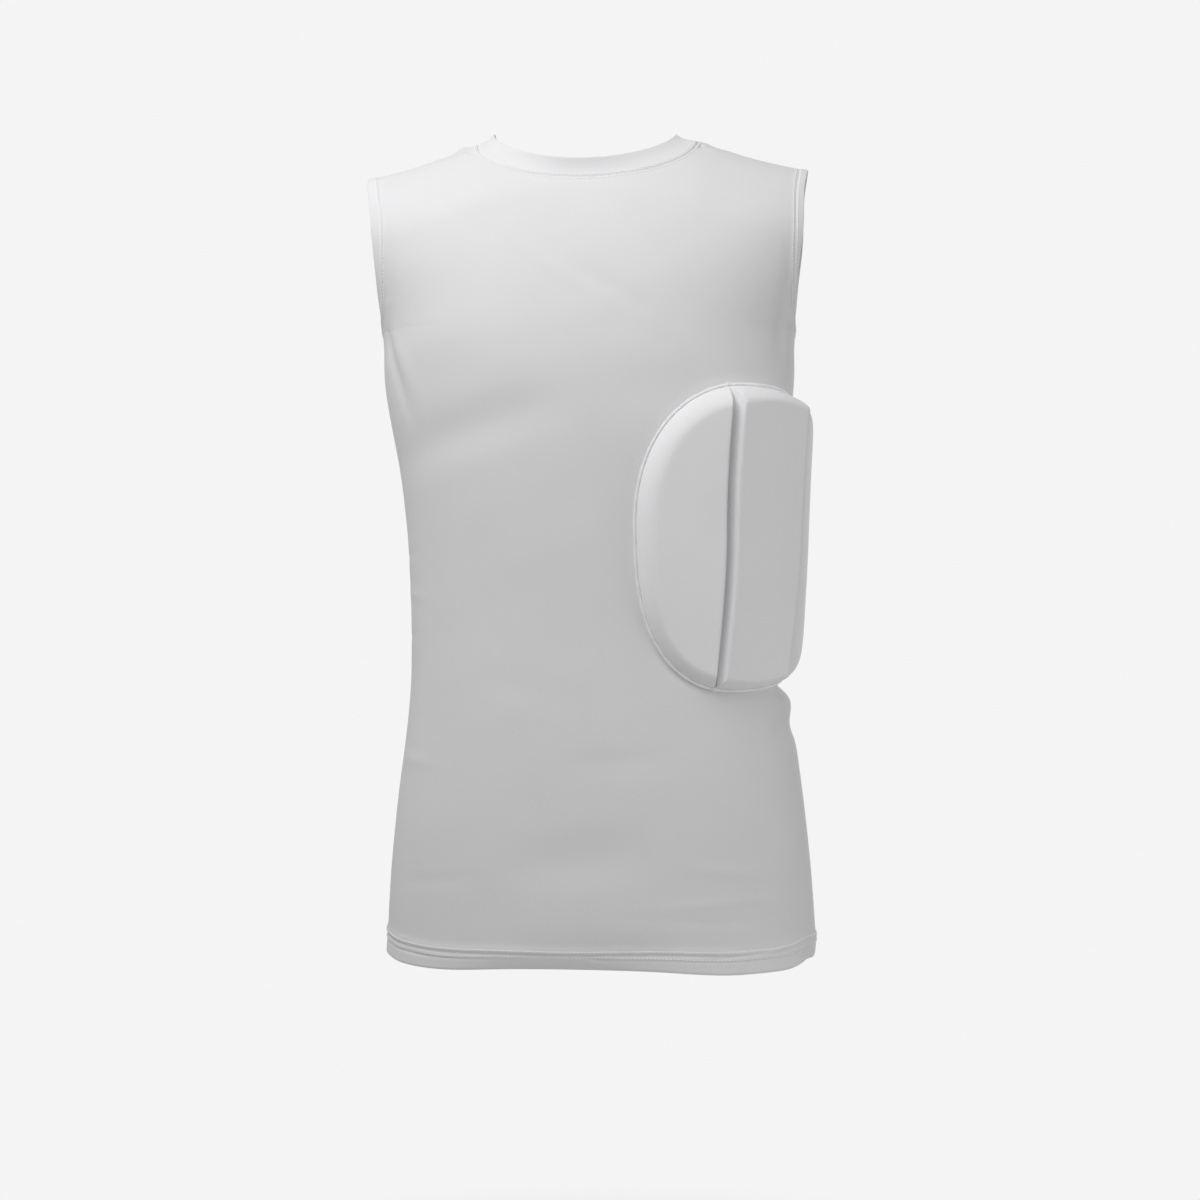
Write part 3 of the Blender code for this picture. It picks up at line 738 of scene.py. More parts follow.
def guard_relief(panel):
    """The seam allowance under the cloth round the guard, and the cloth pulled in below its side."""
    across, up = guard_places(panel.base, panel.side)
    near = (panel.base[..., 0] > 0) & (np.abs(up) < GUARD_HALF_HEIGHT + 0.04)
    distance = np.full(across.shape, 1.0)
    distance[near] = outline_distance(across[near], up[near])
    below = smooth_step((-0.05 - up) / 0.03)
    flange = FLANGE * smooth_step((FLANGE_END - distance) / FLANGE_SLOPE) * (1 - below * 0.5)
    dip = DIP * bump(distance - DIP_OUT, DIP_WIDTH) * below
    round_side = smooth_step((across - 0.036) / 0.022) * smooth_step((0.165 - across) / 0.03)
    from_notch = up - NOTCH_UP
    notch = bump(from_notch, np.where(from_notch < 0, *NOTCH_WIDTHS)) * smooth_step(distance / (4 * MM))
    drawn = sum(ridge_relief(from_notch, ridge) for ridge in BELOW_NOTCH) - NOTCH * notch
    return flange - dip + drawn * round_side * (panel.base[..., 0] > 0)


def at_shoulder(panel):
    """Which rows of a panel end on the shoulder seams."""
    return (np.arange(len(panel.base)) >= panel.shoulder)[:, None]


def fold_relief(panel):
    """The panel's folds, which fade out towards its side and armhole seams."""
    relief = np.zeros(panel.girth.shape)
    for fold in FOLDS[panel.side]:
        turn = math.radians(fold.turn)
        right, up = panel.girth - fold.girth * MM, panel.base[..., 2] - fold.z * MM
        along = right * math.cos(turn) + up * math.sin(turn)
        off = up * math.cos(turn) - right * math.sin(turn) - fold.bend * along**2
        fade = np.clip(1 - (2 * along / (fold.length * MM)) ** 2, 0, 1) ** 2
        share = (off / (fold.width * MM)) ** 2
        relief += fold.rise * MM * fade * np.exp(-share) * (1 - 0.55 * share)
    return relief * np.maximum(at_shoulder(panel), smooth_step(panel.from_edge / (7 * MM)))


def pucker_relief(panel):
    """Puckers that run out of the shoulder seams."""
    x = panel.base[..., 0]
    puckers = sum(row.rise * bump(x - row.x, row.width) for row in PUCKERS)
    return puckers * at_shoulder(panel) * bump(panel.from_side, 8 * MM)


def soft_unevenness(panel):
    """The slight waviness that keeps worn cloth from being a perfect surface."""
    girth, z = panel.girth, panel.base[..., 2]
    wide = np.sin(girth * 31 + z * 17 + panel.side) * np.sin(z * 27 - girth * 9 + 0.7)
    narrow = np.sin(girth * 83 - z * 41 + 1.3) * np.sin(z * 67 + girth * 29 + panel.side)
    return (0.35 * wide + 0.12 * narrow) * MM


def make_panel(name, side, material):
    """One panel of the vest, with the grid that it was made from and its outer surface."""
    panel = make_panel_grid(side)
    relief = (
        seam_relief(panel)
        + hem_relief(panel)
        + guard_relief(panel)
        + fold_relief(panel)
        + pucker_relief(panel)
        + soft_unevenness(panel) * smooth_step(panel.from_edge / 0.02)
    )
    in_hem = smooth_step((needle_row(panel) + 0.3 * MM - panel.from_hem) / (1.0 * MM))
    thickness = WALL + (HEM_WALL - WALL) * in_hem
    outer, inner = thickened(panel.base, panel.normal, relief, thickness, panel.from_hem)
    uv = np.stack([panel.girth, panel.from_hem], axis=-1)
    piece = closed_cloth(name, outer, inner, uv, material)
    return piece, panel, outer


# -------------------- neckband and armhole bindings

BAND_COLUMNS = 110  # on each side
BAND_SHARES = np.concatenate([np.linspace(0, 0.9, 22), [0.93, 0.955, 0.972, 0.985, 0.993, 0.998, 1]])


def band_wall(from_seam):
    """Thickness of a folded band: the panel's at its seam, and full a little way out."""
    return WALL + (BAND_WALL - WALL) * smooth_step(from_seam / (4 * MM))


Strip = namedtuple("Strip", "piece outer normal from_seam")


def make_strip(name, seam, edge, shares, side, material, hollow=0):
    """A folded strip between two closed lines. hollow, by column, is how far it curves in between them."""
    length = np.linalg.norm(edge - seam, axis=1)
    start = SEAM_GAP / length
    rise = start + (1 - start) * shares[:, None]
    base = seam + (edge - seam) * rise[..., None] - hollow * np.sin(math.pi * rise)[..., None]
    from_seam = rise * length
    normal = grid_normals(base, side, wrap=True)
    wall = band_wall(from_seam)
    outer, inner = thickened(base, normal, seam_profile(from_seam), wall, length - from_seam)
    uv = np.stack([np.broadcast_to(ring_lengths(seam), from_seam.shape), from_seam], axis=-1)
    return Strip(closed_cloth(name, outer, inner, uv, material, wrap=True), outer, normal, from_seam)


def make_neckband(material):
    """The folded band that stands up from the neck seam."""
    share = np.linspace(0, 1, BAND_COLUMNS + 1)
    seams, edges, outs, hollows = [], [], [], []
    for side, places in ((FRONT, share[:-1]), (BACK, share[:0:-1])):
        across = across_share(places)
        inward = np.sqrt(1 - across**2)
        top = PanelRows(*(values[-1:] for values in panel_rows(side)))
        seam = row_points(top, side, across[None])[0]
        seam[inward < 1e-6, 1] = 0
        x = BAND_TOP_CENTRE + BAND_TOP_HALF * across
        drop = BAND_TOP_DROP[side] * inward ** BAND_TOP_POWER[side]
        z = BAND_TOP_HIGH - drop - BAND_TOP_TILT * across
        seams.append(seam)
        edges.append(np.stack([x, side * BAND_TOP_DEPTH[side] * inward, z], axis=-1))
        outs.append(np.stack([across, side * inward, np.full(len(across), 0.6)], axis=-1))
        hollows.append(BAND_HOLLOW + BAND_SIDE_HOLLOW * across**8)
    seam, edge, out, hollow = (np.concatenate(parts) for parts in (seams, edges, outs, hollows))
    out /= np.linalg.norm(out, axis=1, keepdims=True)
    hollow = out * hollow[:, None]
    return make_strip("neckband_cloth", seam, edge, BAND_SHARES, FRONT, material, hollow)


BINDING_STEPS = 60  # columns on each side
EDGE_LEAN = 0.0036  # how far the folded edge leans in from the body under the arm
BINDING_SHARES = np.concatenate([np.linspace(0, 0.84, 12), [0.88, 0.915, 0.945, 0.97, 0.985, 0.995, 1]])


def make_binding(name, hand, material):
    """The folded strip round one armhole. hand is 1 at the wearer's left."""
    share = np.linspace(0, 1, BINDING_STEPS + 1)
    rings = []
    for ring in ("seam", "edge"):
        halves = []
        for side, places in ((FRONT, share[:-1]), (BACK, share[:0:-1])):
            x, z = armhole_place(ring, hand, places)
            lean = EDGE_LEAN * (1 - places) ** 3 if ring == "edge" else 0
            points = body_points(x + hand * lean, z, side)
            points[:, 0] = x
            points[0, 1] = 0
            halves.append(points)
        rings.append(np.concatenate(halves))
    return make_strip(name, *rings, BINDING_SHARES, hand, material)


# -------------------- the rib guard

WIDEST_RIM = 16 * MM
RIM_LESS = {"side": 4.5 * MM, "foot": 5.5 * MM}  # how much narrower the rolled edge is there
RIM_STEPS = 26  # rows or columns over a rolled edge
BEVEL_STEPS = 16
FACE_STEPS = 24
D_ROWS = 150


def above_chord(here, one, other):
    """How far points stand out from straight lines between two others."""
    along = other - one
    along = along / np.linalg.norm(along, axis=-1, keepdims=True)
    away = here - one
    away = away - along * (away * along).sum(-1, keepdims=True)
    outward = here * np.array([1, 1, 0])
    return np.copysign(np.linalg.norm(away, axis=-1), (away * outward).sum(-1))


def rim_width(across, up):
    """Width of the rolled edge, which is narrower at the side and at the foot."""
    at_side, at_foot = smooth_step((across + 0.020) / 0.04), smooth_step(-up / 0.1)
    return WIDEST_RIM - RIM_LESS["side"] * at_side - RIM_LESS["foot"] * at_foot


def rim_rise(share):
    """A steep lip, and a slope that flattens up to the face, from 0 to 1."""
    share = np.clip(share, 0, 1)
    return 0.08 * quarter_round(share / 0.05) + 0.92 * (1 - (1 - share) ** 2.1)


def bevel_rise(share):
    """A steep wall, and a hollow bevel up to a crisp shoulder, from 0 to 1."""
    share = np.clip(share, 0, 1)
    return 0.2 * quarter_round(share / 0.1) + 0.8 * share**1.4


def crown(across, up, span, flatness):
    """Full thickness of a pad whose grooves or edges lie at the two places of span."""
    here, _ = guard_frame(across, up)
    ends = [guard_frame(np.full(across.shape, place), up)[0] for place in span]
    bulge = above_chord(here, *ends)
    half = np.full(across.shape, GUARD_HALF_HEIGHT)
    hollow = -above_chord(here, guard_frame(across, -half)[0], guard_frame(across, half)[0])
    taper = FOAM_TAPER * up / GUARD_HALF_HEIGHT
    return FOAM + taper - flatness * np.maximum(bulge, 0) + STRAIGHTNESS * np.maximum(hollow, 0)


def foam_height(across, up, grooves, span, flatness):
    """Thickness of a pad at places of the drawing. grooves holds (across, bevel, foot, bead)."""
    height = rim_rise(np.abs(outline_distance(across, up)) / rim_width(across, up))
    bead_height = 0
    for place, bevel, foot, bead in grooves:
        away = np.abs(across - place)
        bead_height = bead_height + bead * bump(away - bevel - 0.3 * MM, 1.3 * MM) * height
        height = np.minimum(height, foot + (1 - foot) * bevel_rise(away / bevel))
    return EDGE_HEIGHT + (crown(across, up, span, flatness) - EDGE_HEIGHT) * height + bead_height


def eased(steps):
    """Shares from 0 to 1 that lie closer together near 0."""
    return (np.arange(steps + 1) / steps) ** 1.7


def spaced(width, start_width, start_steps, end_width, end_steps):
    """Steps from 0 to each width: eased ones over its start and its end, and even ones between."""
    width = width[:, None]
    start = eased(start_steps) * np.minimum(start_width, width * 0.45)
    end = width - eased(end_steps)[::-1] * np.minimum(end_width, width * 0.45)
    between = np.linspace(0, 1, FACE_STEPS + 1)[1:-1]
    middle = start[:, -1:] + (end[:, :1] - start[:, -1:]) * between
    return np.concatenate([start, middle, end], axis=1)


def make_pad(node, across, up, grooves, span, material):
    """A foam pad in its cover over a grid of places in the drawing."""
    base, normal = guard_frame(across, up)
    height = foam_height(across, up, grooves, span, FLATNESS[node]) * STANDING[node]
    outer = base + normal * (GUARD_LIFT + height)[..., None]
    inner = base + normal * GUARD_LIFT
    return closed_cloth(node + "_cover", outer, inner, np.stack([across, up], axis=-1), material)


def groove_turns(place):
    """The outline's turns at the foot and the top of an upright line through the drawing."""
    side = BACK if place > 0 else FRONT
    share = math.copysign((abs(place) / GUARD_REACH[side]) ** (GUARD_SQUARENESS[side] / 2), place)
    return -math.acos(share), math.acos(share)


def make_end_pad(node, side, groove, material):
    """The D-shaped pad between the front or the back of the outline and a groove."""
    edge = groove.across + side * GROOVE_GAP
    foot, top = groove_turns(edge)
    bevel = groove.back_bevel
    if side == FRONT:
        foot += 2 * math.pi
        bevel = groove.front_bevel
    share = np.linspace(0, 1, D_ROWS + 1)
    on_outline = guard_outline(even_turns(foot, top, D_ROWS + 1))
    low, high = on_outline[0, 1], on_outline[-1, 1]
    height = low + (high - low) * (1 - np.cos(math.pi * share)) / 2
    on_groove = np.stack([np.full(len(share), edge), height], axis=-1)
    width = np.linalg.norm(on_groove - on_outline, axis=1)
    steps = spaced(width, WIDEST_RIM, RIM_STEPS, bevel, BEVEL_STEPS)
    part = steps / np.maximum(width, 1e-9)[:, None]
    spots = on_outline[:, None] + (on_groove - on_outline)[:, None] * part[..., None]
    span = sorted([edge, side * GUARD_REACH[side]])
    grooves = [(edge, bevel, groove.foot, 0)]
    return make_pad(node, spots[..., 0], spots[..., 1], grooves, span, material)


def make_side_pad(node, front, back, material):
    """The pad between two grooves."""
    edges = (front.across + GROOVE_GAP, back.across - GROOVE_GAP)
    width = np.array([edges[1] - edges[0]])
    across = edges[0] + spaced(width, front.back_bevel, BEVEL_STEPS, back.front_bevel, BEVEL_STEPS)[0]
    high = np.array([guard_outline(groove_turns(place)[1])[1] for place in across])
    up = (spaced(2 * high, WIDEST_RIM, RIM_STEPS, WIDEST_RIM, RIM_STEPS) - high[:, None]).T
    across = np.broadcast_to(across, up.shape)
    grooves = [
        (edges[0], front.back_bevel, front.foot, SIDE_BEAD),
        (edges[1], back.front_bevel, back.foot, SIDE_BEAD),
    ]
    return make_pad(node, across, up, grooves, edges, material)


PIPING = 1.3 * MM
PIPING_OUT = 1.1 * MM
PIPING_UP = WALL + FLANGE + 0.4 * MM
PIPING_POINTS = 400
PIPING_SIDES = 12
WHIP_PITCH = 2.3 * MM


def outline_beside(turn, out):
    """Places in the drawing at a distance outside the guard's outline."""
    spot = guard_outline(turn)
    along = guard_outline(turn + 0.004) - guard_outline(turn - 0.004)
    away = np.stack([along[..., 1], -along[..., 0]], axis=-1)
    return spot + away / np.linalg.norm(away, axis=-1, keepdims=True) * np.asarray(out)[..., None]


def make_piping(material):
    """The cord-like seam that joins the guard's cover to the vest."""
    turn = even_turns(0, 2 * math.pi, PIPING_POINTS + 1)[:-1]
    spot = outline_beside(turn, PIPING_OUT)
    beside = outline_beside(turn, PIPING_OUT + MM)
    centre, normal = guard_frame(spot[:, 0], spot[:, 1])
    sideways = guard_frame(beside[:, 0], beside[:, 1])[0] - centre
    sideways /= np.linalg.norm(sideways, axis=1, keepdims=True)
    centre = centre + normal * PIPING_UP
    angle = np.linspace(0, 2 * math.pi, PIPING_SIDES, endpoint=False)[:, None, None]
    uneven = 1 + 0.07 * np.sin(turn * 37 + 1) + 0.05 * np.sin(turn * 91)
    reach = (PIPING * uneven)[:, None]
    points = centre + (sideways * np.cos(angle) + normal * np.sin(angle)) * reach
    faces = lay_faces(PIPING_SIDES + 1, PIPING_POINTS, 0, True, False) % (PIPING_SIDES * PIPING_POINTS)
    around = np.arange(PIPING_SIDES)[:, None] * PIPING / 2
    uv = np.stack(np.broadcast_arrays(ring_lengths(centre), around), axis=-1)
    return make_mesh("guard_piping", points, faces, uv, material)


# -------------------- stitches

STATIONS = np.linspace(0, 1, 6)
THREAD_SIDES = 6
TACK = 7 * MM
TACK_TURNS = (-72, -38, -8, 22, 60)


def resampled(line, normals, at):
    """Points and normals of a polyline at distances along it."""
    length = line_lengths(line)
    points = np.stack([np.interp(at, length, line[:, k]) for k in range(3)], axis=-1)
    normal = np.stack([np.interp(at, length, normals[:, k]) for k in range(3)], axis=-1)
    return points, normal / np.linalg.norm(normal, axis=-1, keepdims=True)


def stitch_points(line, normals, pitch=STITCH_PITCH, length=STITCH_LENGTH, radius=THREAD):
    """Rings of points of a row of stitches, which dip into the cloth at both ends."""
    total = line_lengths(line)[-1]
    count = int(total / pitch)
    first = (total - count * pitch + pitch - length) / 2
    at = first + np.arange(count)[:, None] * pitch + STATIONS * length
    return thread_rings(*resampled(line, normals, at), radius)


def thread_rings(points, normal, radius):
    """Rings of points round stitches whose own points are given by stitch and station."""
    along = np.gradient(points, axis=1)
    along /= np.linalg.norm(along, axis=-1, keepdims=True)
    aside = np.cross(along, normal)
    arch = np.sin(math.pi * STATIONS)
    points = points + normal * (radius * (1.3 * arch - 0.75))[:, None]
    angle = np.linspace(0, 2 * math.pi, THREAD_SIDES, endpoint=False)[:, None]
    spread = radius * (0.45 + 0.55 * np.sqrt(arch))[:, None, None]
    around = aside[:, :, None] * np.cos(angle) + normal[:, :, None] * np.sin(angle)
    return points[:, :, None] + around * spread


def whip_stitches():
    """Stitches that cross the guard's piping at a slant, all round it."""
    count = int(line_lengths(OUTLINE)[-1] / WHIP_PITCH)
    turn = even_turns(0, 2 * math.pi, count + 1)
    slant = (turn[1:] - turn[:-1])[:, None] * (STATIONS - 0.5)
    reach = np.linspace(-1.45, 1.75, len(STATIONS)) * MM
    spot = outline_beside(turn[:-1, None] + slant, PIPING_OUT + reach)
    points, normal = guard_frame(spot[..., 0], spot[..., 1])
    over = np.sqrt(np.maximum(PIPING**2 - reach**2, 0)) + 0.1 * MM
    return thread_rings(points + normal * (PIPING_UP + over)[:, None], normal, 0.24 * MM)


def bar_tacks():
    """Short stitches drawn together over the piping at both ends of the deep groove."""
    rows = []
    for turn in groove_turns(FRONT_GROOVE.across):
        centre = outline_beside(np.array(turn), PIPING_OUT - 0.4 * MM)
        for degrees in TACK_TURNS:
            way = np.array([math.sin(math.radians(degrees)), math.cos(math.radians(degrees))])
            spot = centre + way * (np.linspace(-1, 1, 9) * TACK / 2)[:, None]
            line, normal = guard_frame(spot[:, 0], spot[:, 1])
            line = line + normal * (PIPING_UP + PIPING)
            rows.append(stitch_points(line, normal, TACK * 0.98, TACK * 0.95, 0.45 * MM))
    return rows


def make_stitches(name, rows_of_stitches, material):
    """Rows of stitches joined into one mesh. Each row is a block of rings of points."""
    rings = np.concatenate(rows_of_stitches)
    count, stations, sides = rings.shape[:3]
    tube = lay_faces(stations, sides, 0, True, False)
    ends = [list(range(sides))[::-1], list(range((stations - 1) * sides, stations * sides))]
    faces = []
    for k in range(count):
        start = k * stations * sides
        faces += (tube + start).tolist()
        faces += [[corner + start for corner in end] for end in ends]
    mesh = bpy.data.meshes.new(name)
    mesh.from_pydata(rings.reshape(-1, 3).tolist(), [], faces)
    return smooth_piece(name, mesh, material)


def line_across(outer, normal, distance, wanted):
    """The line of a grid's surface where distance, by row and column, reaches a value wanted there."""
    line, normals = [], []
    for column in range(outer.shape[1]):
        far = distance[:, column]
        order = slice(None) if far[-1] > far[0] else slice(None, None, -1)
        goal = wanted[column] if np.ndim(wanted) else wanted
        for values, kept in ((outer, line), (normal, normals)):
            kept.append([np.interp(goal, far[order], values[order, column, k]) for k in range(3)])
    return np.array(line), np.array(normals)


def strip_stitches(strip):
    """The row of stitches round a strip beside its seam."""
    line, normals = line_across(strip.outer, strip.normal, strip.from_seam, STITCHES_FROM_SEAM)
    closed = np.append(np.arange(len(line)), 0)
    return stitch_points(line[closed], normals[closed])


def line_beside(panel, hand):
    """The line of a panel's stitches beside one of its armhole seams."""
    seam_points = slice(panel.armhole - 1, panel.shoulder), -1 if hand > 0 else 0
    seam, normal = panel.base[seam_points], panel.normal[seam_points]
    beside = np.cross(normal, np.gradient(seam, axis=0)) * -hand * panel.side
    beside /= np.linalg.norm(beside, axis=1, keepdims=True)
    return seam + beside * STITCHES_FROM_SEAM + normal * (WALL + SEAM_RIDGE), normal


# -------------------- materials


class Nodes:
    """A short way to write the nodes of a material or the world."""

    def __init__(self, tree):
        self.tree = tree

    def add(self, kind, **settings):
        node = self.tree.nodes.new(kind)
        for name, value in settings.items():
            setattr(node, name, value)
        return node

    def put(self, socket, value):
        if isinstance(value, bpy.types.NodeSocket):
            self.tree.links.new(value, socket)
        else:
            socket.default_value = value

    def math(self, operation, *values):
        node = self.add("ShaderNodeMath", operation=operation)
        for socket, value in zip(node.inputs, values):
            self.put(socket, value)
        return node.outputs[0]

    def noise(self, vector, scale, detail=2.0):
        node = self.add("ShaderNodeTexNoise")
        self.put(node.inputs["Vector"], vector)
        node.inputs["Scale"].default_value = scale
        node.inputs["Detail"].default_value = detail
        return node.outputs["Fac"]

    def ramp(self, value, low, high):
        """value from 0 to 1 carried to a range."""
        node = self.add("ShaderNodeMapRange")
        self.put(node.inputs["Value"], value)
        node.inputs["To Min"].default_value = low
        node.inputs["To Max"].default_value = high
        return node.outputs["Result"]

    def mix(self, share, *shaders):
        node = self.add("ShaderNodeMixShader")
        for socket, value in zip(node.inputs, (share, *shaders)):
            self.put(socket, value)
        return node.outputs[0]

    def carve(self, shader, height):
        """Gives a shader a relief, in metres."""
        node = self.add("ShaderNodeBump")
        node.inputs["Strength"].default_value = 1
        node.inputs["Distance"].default_value = 1
        self.put(node.inputs["Height"], height)
        self.put(shader.inputs["Normal"], node.outputs["Normal"])

    def scaled_colour(self, colour, factor):
        node = self.add("ShaderNodeVectorMath", operation="SCALE")
        node.inputs[0].default_value = colour
        self.put(node.inputs["Scale"], factor)
        return node.outputs["Vector"]


def new_material(name, colour, roughness):
    material = bpy.data.materials.new(name)
    material.use_nodes = True
    shader = material.node_tree.nodes["Principled BSDF"]
    shader.inputs["Base Color"].default_value = (*colour, 1)
    shader.inputs["Roughness"].default_value = roughness
    return material, shader, Nodes(material.node_tree)


# One stitch's width and height, the depth of the loops, and the depth of the cloth's slow unevenness.
Knit = namedtuple("Knit", "wale course relief uneven")
JERSEY_KNIT = Knit(0.9 * MM, 0.75 * MM, 0.06 * MM, 0.10 * MM)
BINDING_KNIT = Knit(0.9 * MM, 0.75 * MM, 0.06 * MM, 0.05 * MM)
COVER_KNIT = Knit(1.0 * MM, 0.8 * MM, 0.04 * MM, 0.04 * MM)


def knit_material(name, colour, roughness, knit):
    """Fine jersey."""
    material, shader, nodes = new_material(name, colour, roughness)
    shader.inputs["Sheen Weight"].default_value = 0.12
    shader.inputs["Sheen Roughness"].default_value = 0.45
    shader.inputs["Specular IOR Level"].default_value = 0.28
    cloth = nodes.add("ShaderNodeUVMap", uv_map="cloth").outputs["UV"]
    place = nodes.add("ShaderNodeSeparateXYZ")
    nodes.put(place.inputs[0], cloth)
    u = nodes.math("DIVIDE", place.outputs["X"], knit.wale)
    v = nodes.math("DIVIDE", place.outputs["Y"], knit.course)
    # Each wale is a column of V shapes: two strands that slant up to its middle.
    off_middle = nodes.math("ABSOLUTE", nodes.math("SUBTRACT", nodes.math("FRACT", u), 0.5))
    slant = nodes.math("ADD", v, nodes.math("MULTIPLY", off_middle, -1.3))
    strand = nodes.math("SINE", nodes.math("MULTIPLY", slant, 2 * math.pi))
    strand = nodes.ramp(nodes.math("MULTIPLY_ADD", strand, 0.5, 0.5), 0, 0.6)
    rib = nodes.math("COSINE", nodes.math("MULTIPLY", u, 2 * math.pi))
    rib = nodes.ramp(nodes.math("MULTIPLY_ADD", rib, -0.5, 0.5), 0, 0.4)
    loops = nodes.math("ADD", strand, rib)
    coordinates = nodes.add("ShaderNodeTexCoord").outputs["Object"]
    fuzz = nodes.noise(coordinates, 1400, 3)
    drift = nodes.noise(coordinates, 26, 3)
    wide = nodes.noise(coordinates, 7, 2)
    # The base colour is darker in the gaps between the loops, where the bump is low: painted shade. The
    # drift and wide noises vary the tone at random.
    shade = nodes.math("MULTIPLY", nodes.ramp(loops, 0.955, 1.02), nodes.ramp(drift, 0.985, 1.015))
    shade = nodes.math("MULTIPLY", shade, nodes.ramp(wide, 0.985, 1.015))
    nodes.put(shader.inputs["Base Color"], nodes.scaled_colour(colour, shade))
    height = nodes.math("MULTIPLY", loops, knit.relief)
    height = nodes.math("MULTIPLY_ADD", fuzz, knit.relief * 0.35, height)
    height = nodes.math("MULTIPLY_ADD", drift, knit.uneven, height)
    nodes.carve(shader, height)
    return material


def thread_material(name, colour):
    """Sewing thread: smooth polyester with a fine twist."""
    material, shader, nodes = new_material(name, colour, 0.5)
    shader.inputs["Sheen Weight"].default_value = 0.2
    coordinates = nodes.add("ShaderNodeTexCoord").outputs["Object"]
    twist = nodes.noise(coordinates, 2600, 1)
    shade = nodes.ramp(twist, 0.93, 1.03)
    nodes.put(shader.inputs["Base Color"], nodes.scaled_colour(colour, shade))
    nodes.carve(shader, nodes.math("MULTIPLY", twist, 0.05 * MM))
    return material


# -------------------- stage

BACKGROUND = (0.905, 0.905, 0.913)
FLOOR_Z = -1.05
FLOOR_HALF = 3.0
CAMERA_DISTANCE = 2.0
CAMERA_TURN = math.radians(4.5)
CAMERA_TARGET = (0.0097, -0.382)  # aside and up
CAMERA_LENS = 71.4
SENSOR = 36


def make_camera():
    """The view that the garment is shown from: level, and a little from the wearer's left."""
    data = bpy.data.cameras.new("camera")
    data.lens = CAMERA_LENS
    data.sensor_width = SENSOR
    camera = bpy.data.objects.new("camera", data)
    aside, up = CAMERA_TARGET
    cos, sin = math.cos(CAMERA_TURN), math.sin(CAMERA_TURN)
    camera.location = (
        aside * cos + CAMERA_DISTANCE * sin,
        aside * sin - CAMERA_DISTANCE * cos,
        up,
    )
    camera.rotation_euler = (math.pi / 2, 0, CAMERA_TURN)
    bpy.context.scene.collection.objects.link(camera)
    bpy.context.scene.camera = camera


def make_world(strength):
    """Even white light, with the pale background wherever the camera or a gloss sees it."""
    world = bpy.data.worlds.new("world")
    world.use_nodes = True
    bpy.context.scene.world = world
    nodes = Nodes(world.node_tree)
    lit = nodes.tree.nodes["Background"]
    lit.inputs["Color"].default_value = (1, 1, 1, 1)
    lit.inputs["Strength"].default_value = strength
    seen = nodes.add("ShaderNodeBackground")
    seen.inputs["Color"].default_value = (*BACKGROUND, 1)
    path = nodes.add("ShaderNodeLightPath").outputs
    either = path["Is Camera Ray"]
    for ray in ("Is Glossy Ray", "Is Transmission Ray"):
        either = nodes.math("MAXIMUM", either, path[ray])
    surface = nodes.mix(either, lit.outputs[0], seen.outputs[0])
    nodes.put(nodes.tree.nodes["World Output"].inputs["Surface"], surface)


def make_floor():
    """A pale floor that fades into the background all round."""
    half = FLOOR_HALF
    corners = [(-half, -half, 0), (half, -half, 0), (half, half, 0), (-half, half, 0)]
    mesh = bpy.data.meshes.new("floor")
    mesh.from_pydata(corners, [], [(0, 1, 2, 3)])
    floor = bpy.data.objects.new("floor", mesh)
    floor.location.z = FLOOR_Z
    bpy.context.scene.collection.objects.link(floor)
    material, shader, nodes = new_material("floor", (0.86, 0.86, 0.865), 0.9)
    place = nodes.add("ShaderNodeTexCoord").outputs["Object"]
    length = nodes.add("ShaderNodeVectorMath", operation="LENGTH")
    nodes.put(length.inputs[0], place)
    fade = nodes.add("ShaderNodeMapRange", interpolation_type="SMOOTHSTEP")
    nodes.put(fade.inputs["Value"], length.outputs["Value"])
    fade.inputs["From Min"].default_value = 0.25
    fade.inputs["From Max"].default_value = 0.75
    clear = nodes.add("ShaderNodeBsdfTransparent")
    surface = nodes.mix(fade.outputs["Result"], shader.outputs[0], clear.outputs[0])
    nodes.put(nodes.tree.nodes["Material Output"].inputs["Surface"], surface)
    mesh.materials.append(material)


def add_light(name, place, target, size, power):
    """A square soft box that faces target."""
    data = bpy.data.lights.new(name, "AREA")
    data.size = size
    data.energy = power
    light = bpy.data.objects.new(name, data)
    light.location = place
    aim = np.array(target) - np.array(place)
    flat = math.hypot(aim[0], aim[1])
    light.rotation_euler = (math.atan2(flat, -aim[2]), 0, math.atan2(aim[1], aim[0]) - math.pi / 2)
    light.visible_camera = False
    bpy.context.scene.collection.objects.link(light)


# -------------------- the whole


def dress(piece, node):
    """Puts a piece on the root body, and hides the solid that it replaces, if any."""
    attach(piece, "root")
    if node:
        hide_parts(node)
    return piece


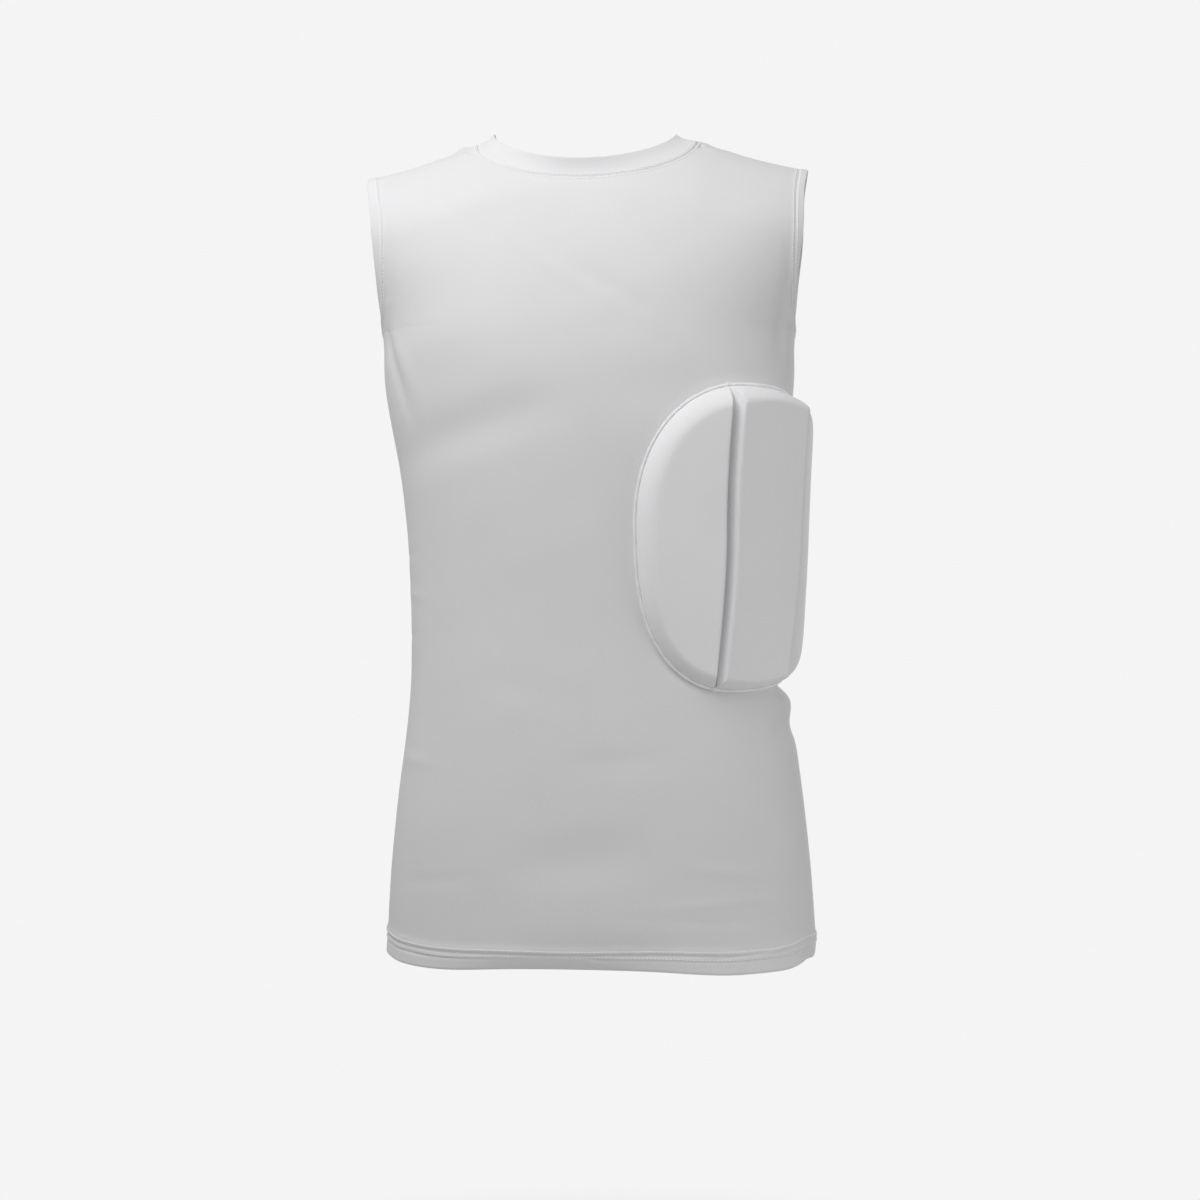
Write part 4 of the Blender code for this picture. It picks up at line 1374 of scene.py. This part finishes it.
def main():
    make_camera()
    make_world(0.295)
    make_floor()
    add_light("key", (-0.72, -0.62, 1.06), (0, 0, -0.12), 1.0, 9.0)
    add_light("near", (-0.35, -0.95, 0.55), (0, 0, -0.15), 0.8, 5.9)
    add_light("fill", (1.9, -0.9, -0.5), (0, 0, -0.4), 1.2, 8.2)
    add_light("behind", (0.4, 2.1, -0.1), (0, 0, -0.35), 1.2, 14)

    jersey = knit_material("white_jersey", (0.81, 0.81, 0.82), 0.85, JERSEY_KNIT)
    binding = knit_material("white_binding", (0.83, 0.83, 0.84), 0.85, BINDING_KNIT)
    cover = knit_material("white_pad_cover", (0.89, 0.89, 0.90), 0.80, COVER_KNIT)
    thread = thread_material("white_thread", (0.95, 0.95, 0.955))

    front, front_grid, front_outer = make_panel("front_cloth", FRONT, jersey)
    back, back_grid, back_outer = make_panel("back_cloth", BACK, jersey)
    neck = make_neckband(binding)
    dress(front, "front")
    dress(back, "back")
    dress(neck.piece, "neckband")

    armhole_rows = []
    for hand, word in HAND_NAMES.items():
        strip = make_binding("armhole_cloth_" + word, hand, binding)
        dress(strip.piece, "armhole_binding_" + word)
        armhole_rows.append(strip_stitches(strip))
        for panel in (front_grid, back_grid):
            armhole_rows.append(stitch_points(*line_beside(panel, hand)))
    armhole_stitches = make_stitches("armhole_stitches", armhole_rows, thread)

    hem_rows, neck_rows = [], [strip_stitches(neck)]
    for panel, surface in ((front_grid, front_outer), (back_grid, back_outer)):
        upper = needle_row(panel)[0]
        lower = upper - NEEDLE_GAP * (1 - 0.4 * along_front(panel, ROLLED)[0])
        for place in (upper, lower):
            hem_rows.append(stitch_points(*line_across(surface, panel.normal, panel.from_hem, place)))
        line = line_across(surface, panel.normal, panel.from_neck, STITCHES_FROM_SEAM)
        neck_rows.append(stitch_points(*line))
    hem_stitches = make_stitches("hem_stitches", hem_rows, thread)
    neck_stitches = make_stitches("neck_stitches", neck_rows, thread)

    for node, side, groove in (("pad_front", FRONT, FRONT_GROOVE), ("pad_back", BACK, BACK_GROOVE)):
        pad = make_end_pad(node, side, groove, cover)
        dress(pad, node)
    pad = make_side_pad("pad_side", FRONT_GROOVE, BACK_GROOVE, cover)
    dress(pad, "pad_side")
    guard_stitches = make_stitches("guard_stitches", [whip_stitches(), *bar_tacks()], thread)
    dress(make_piping(thread), "guard_welt")
    for stitches, slot in (
        (armhole_stitches, "white_binding"),
        (hem_stitches, "white_jersey"),
        (neck_stitches, "white_binding"),
        (guard_stitches, "white_pad_cover"),
    ):
        dress(stitches, None)

    bpy.context.scene.view_settings.view_transform = "Standard"
    bpy.context.view_layer.update()


main()
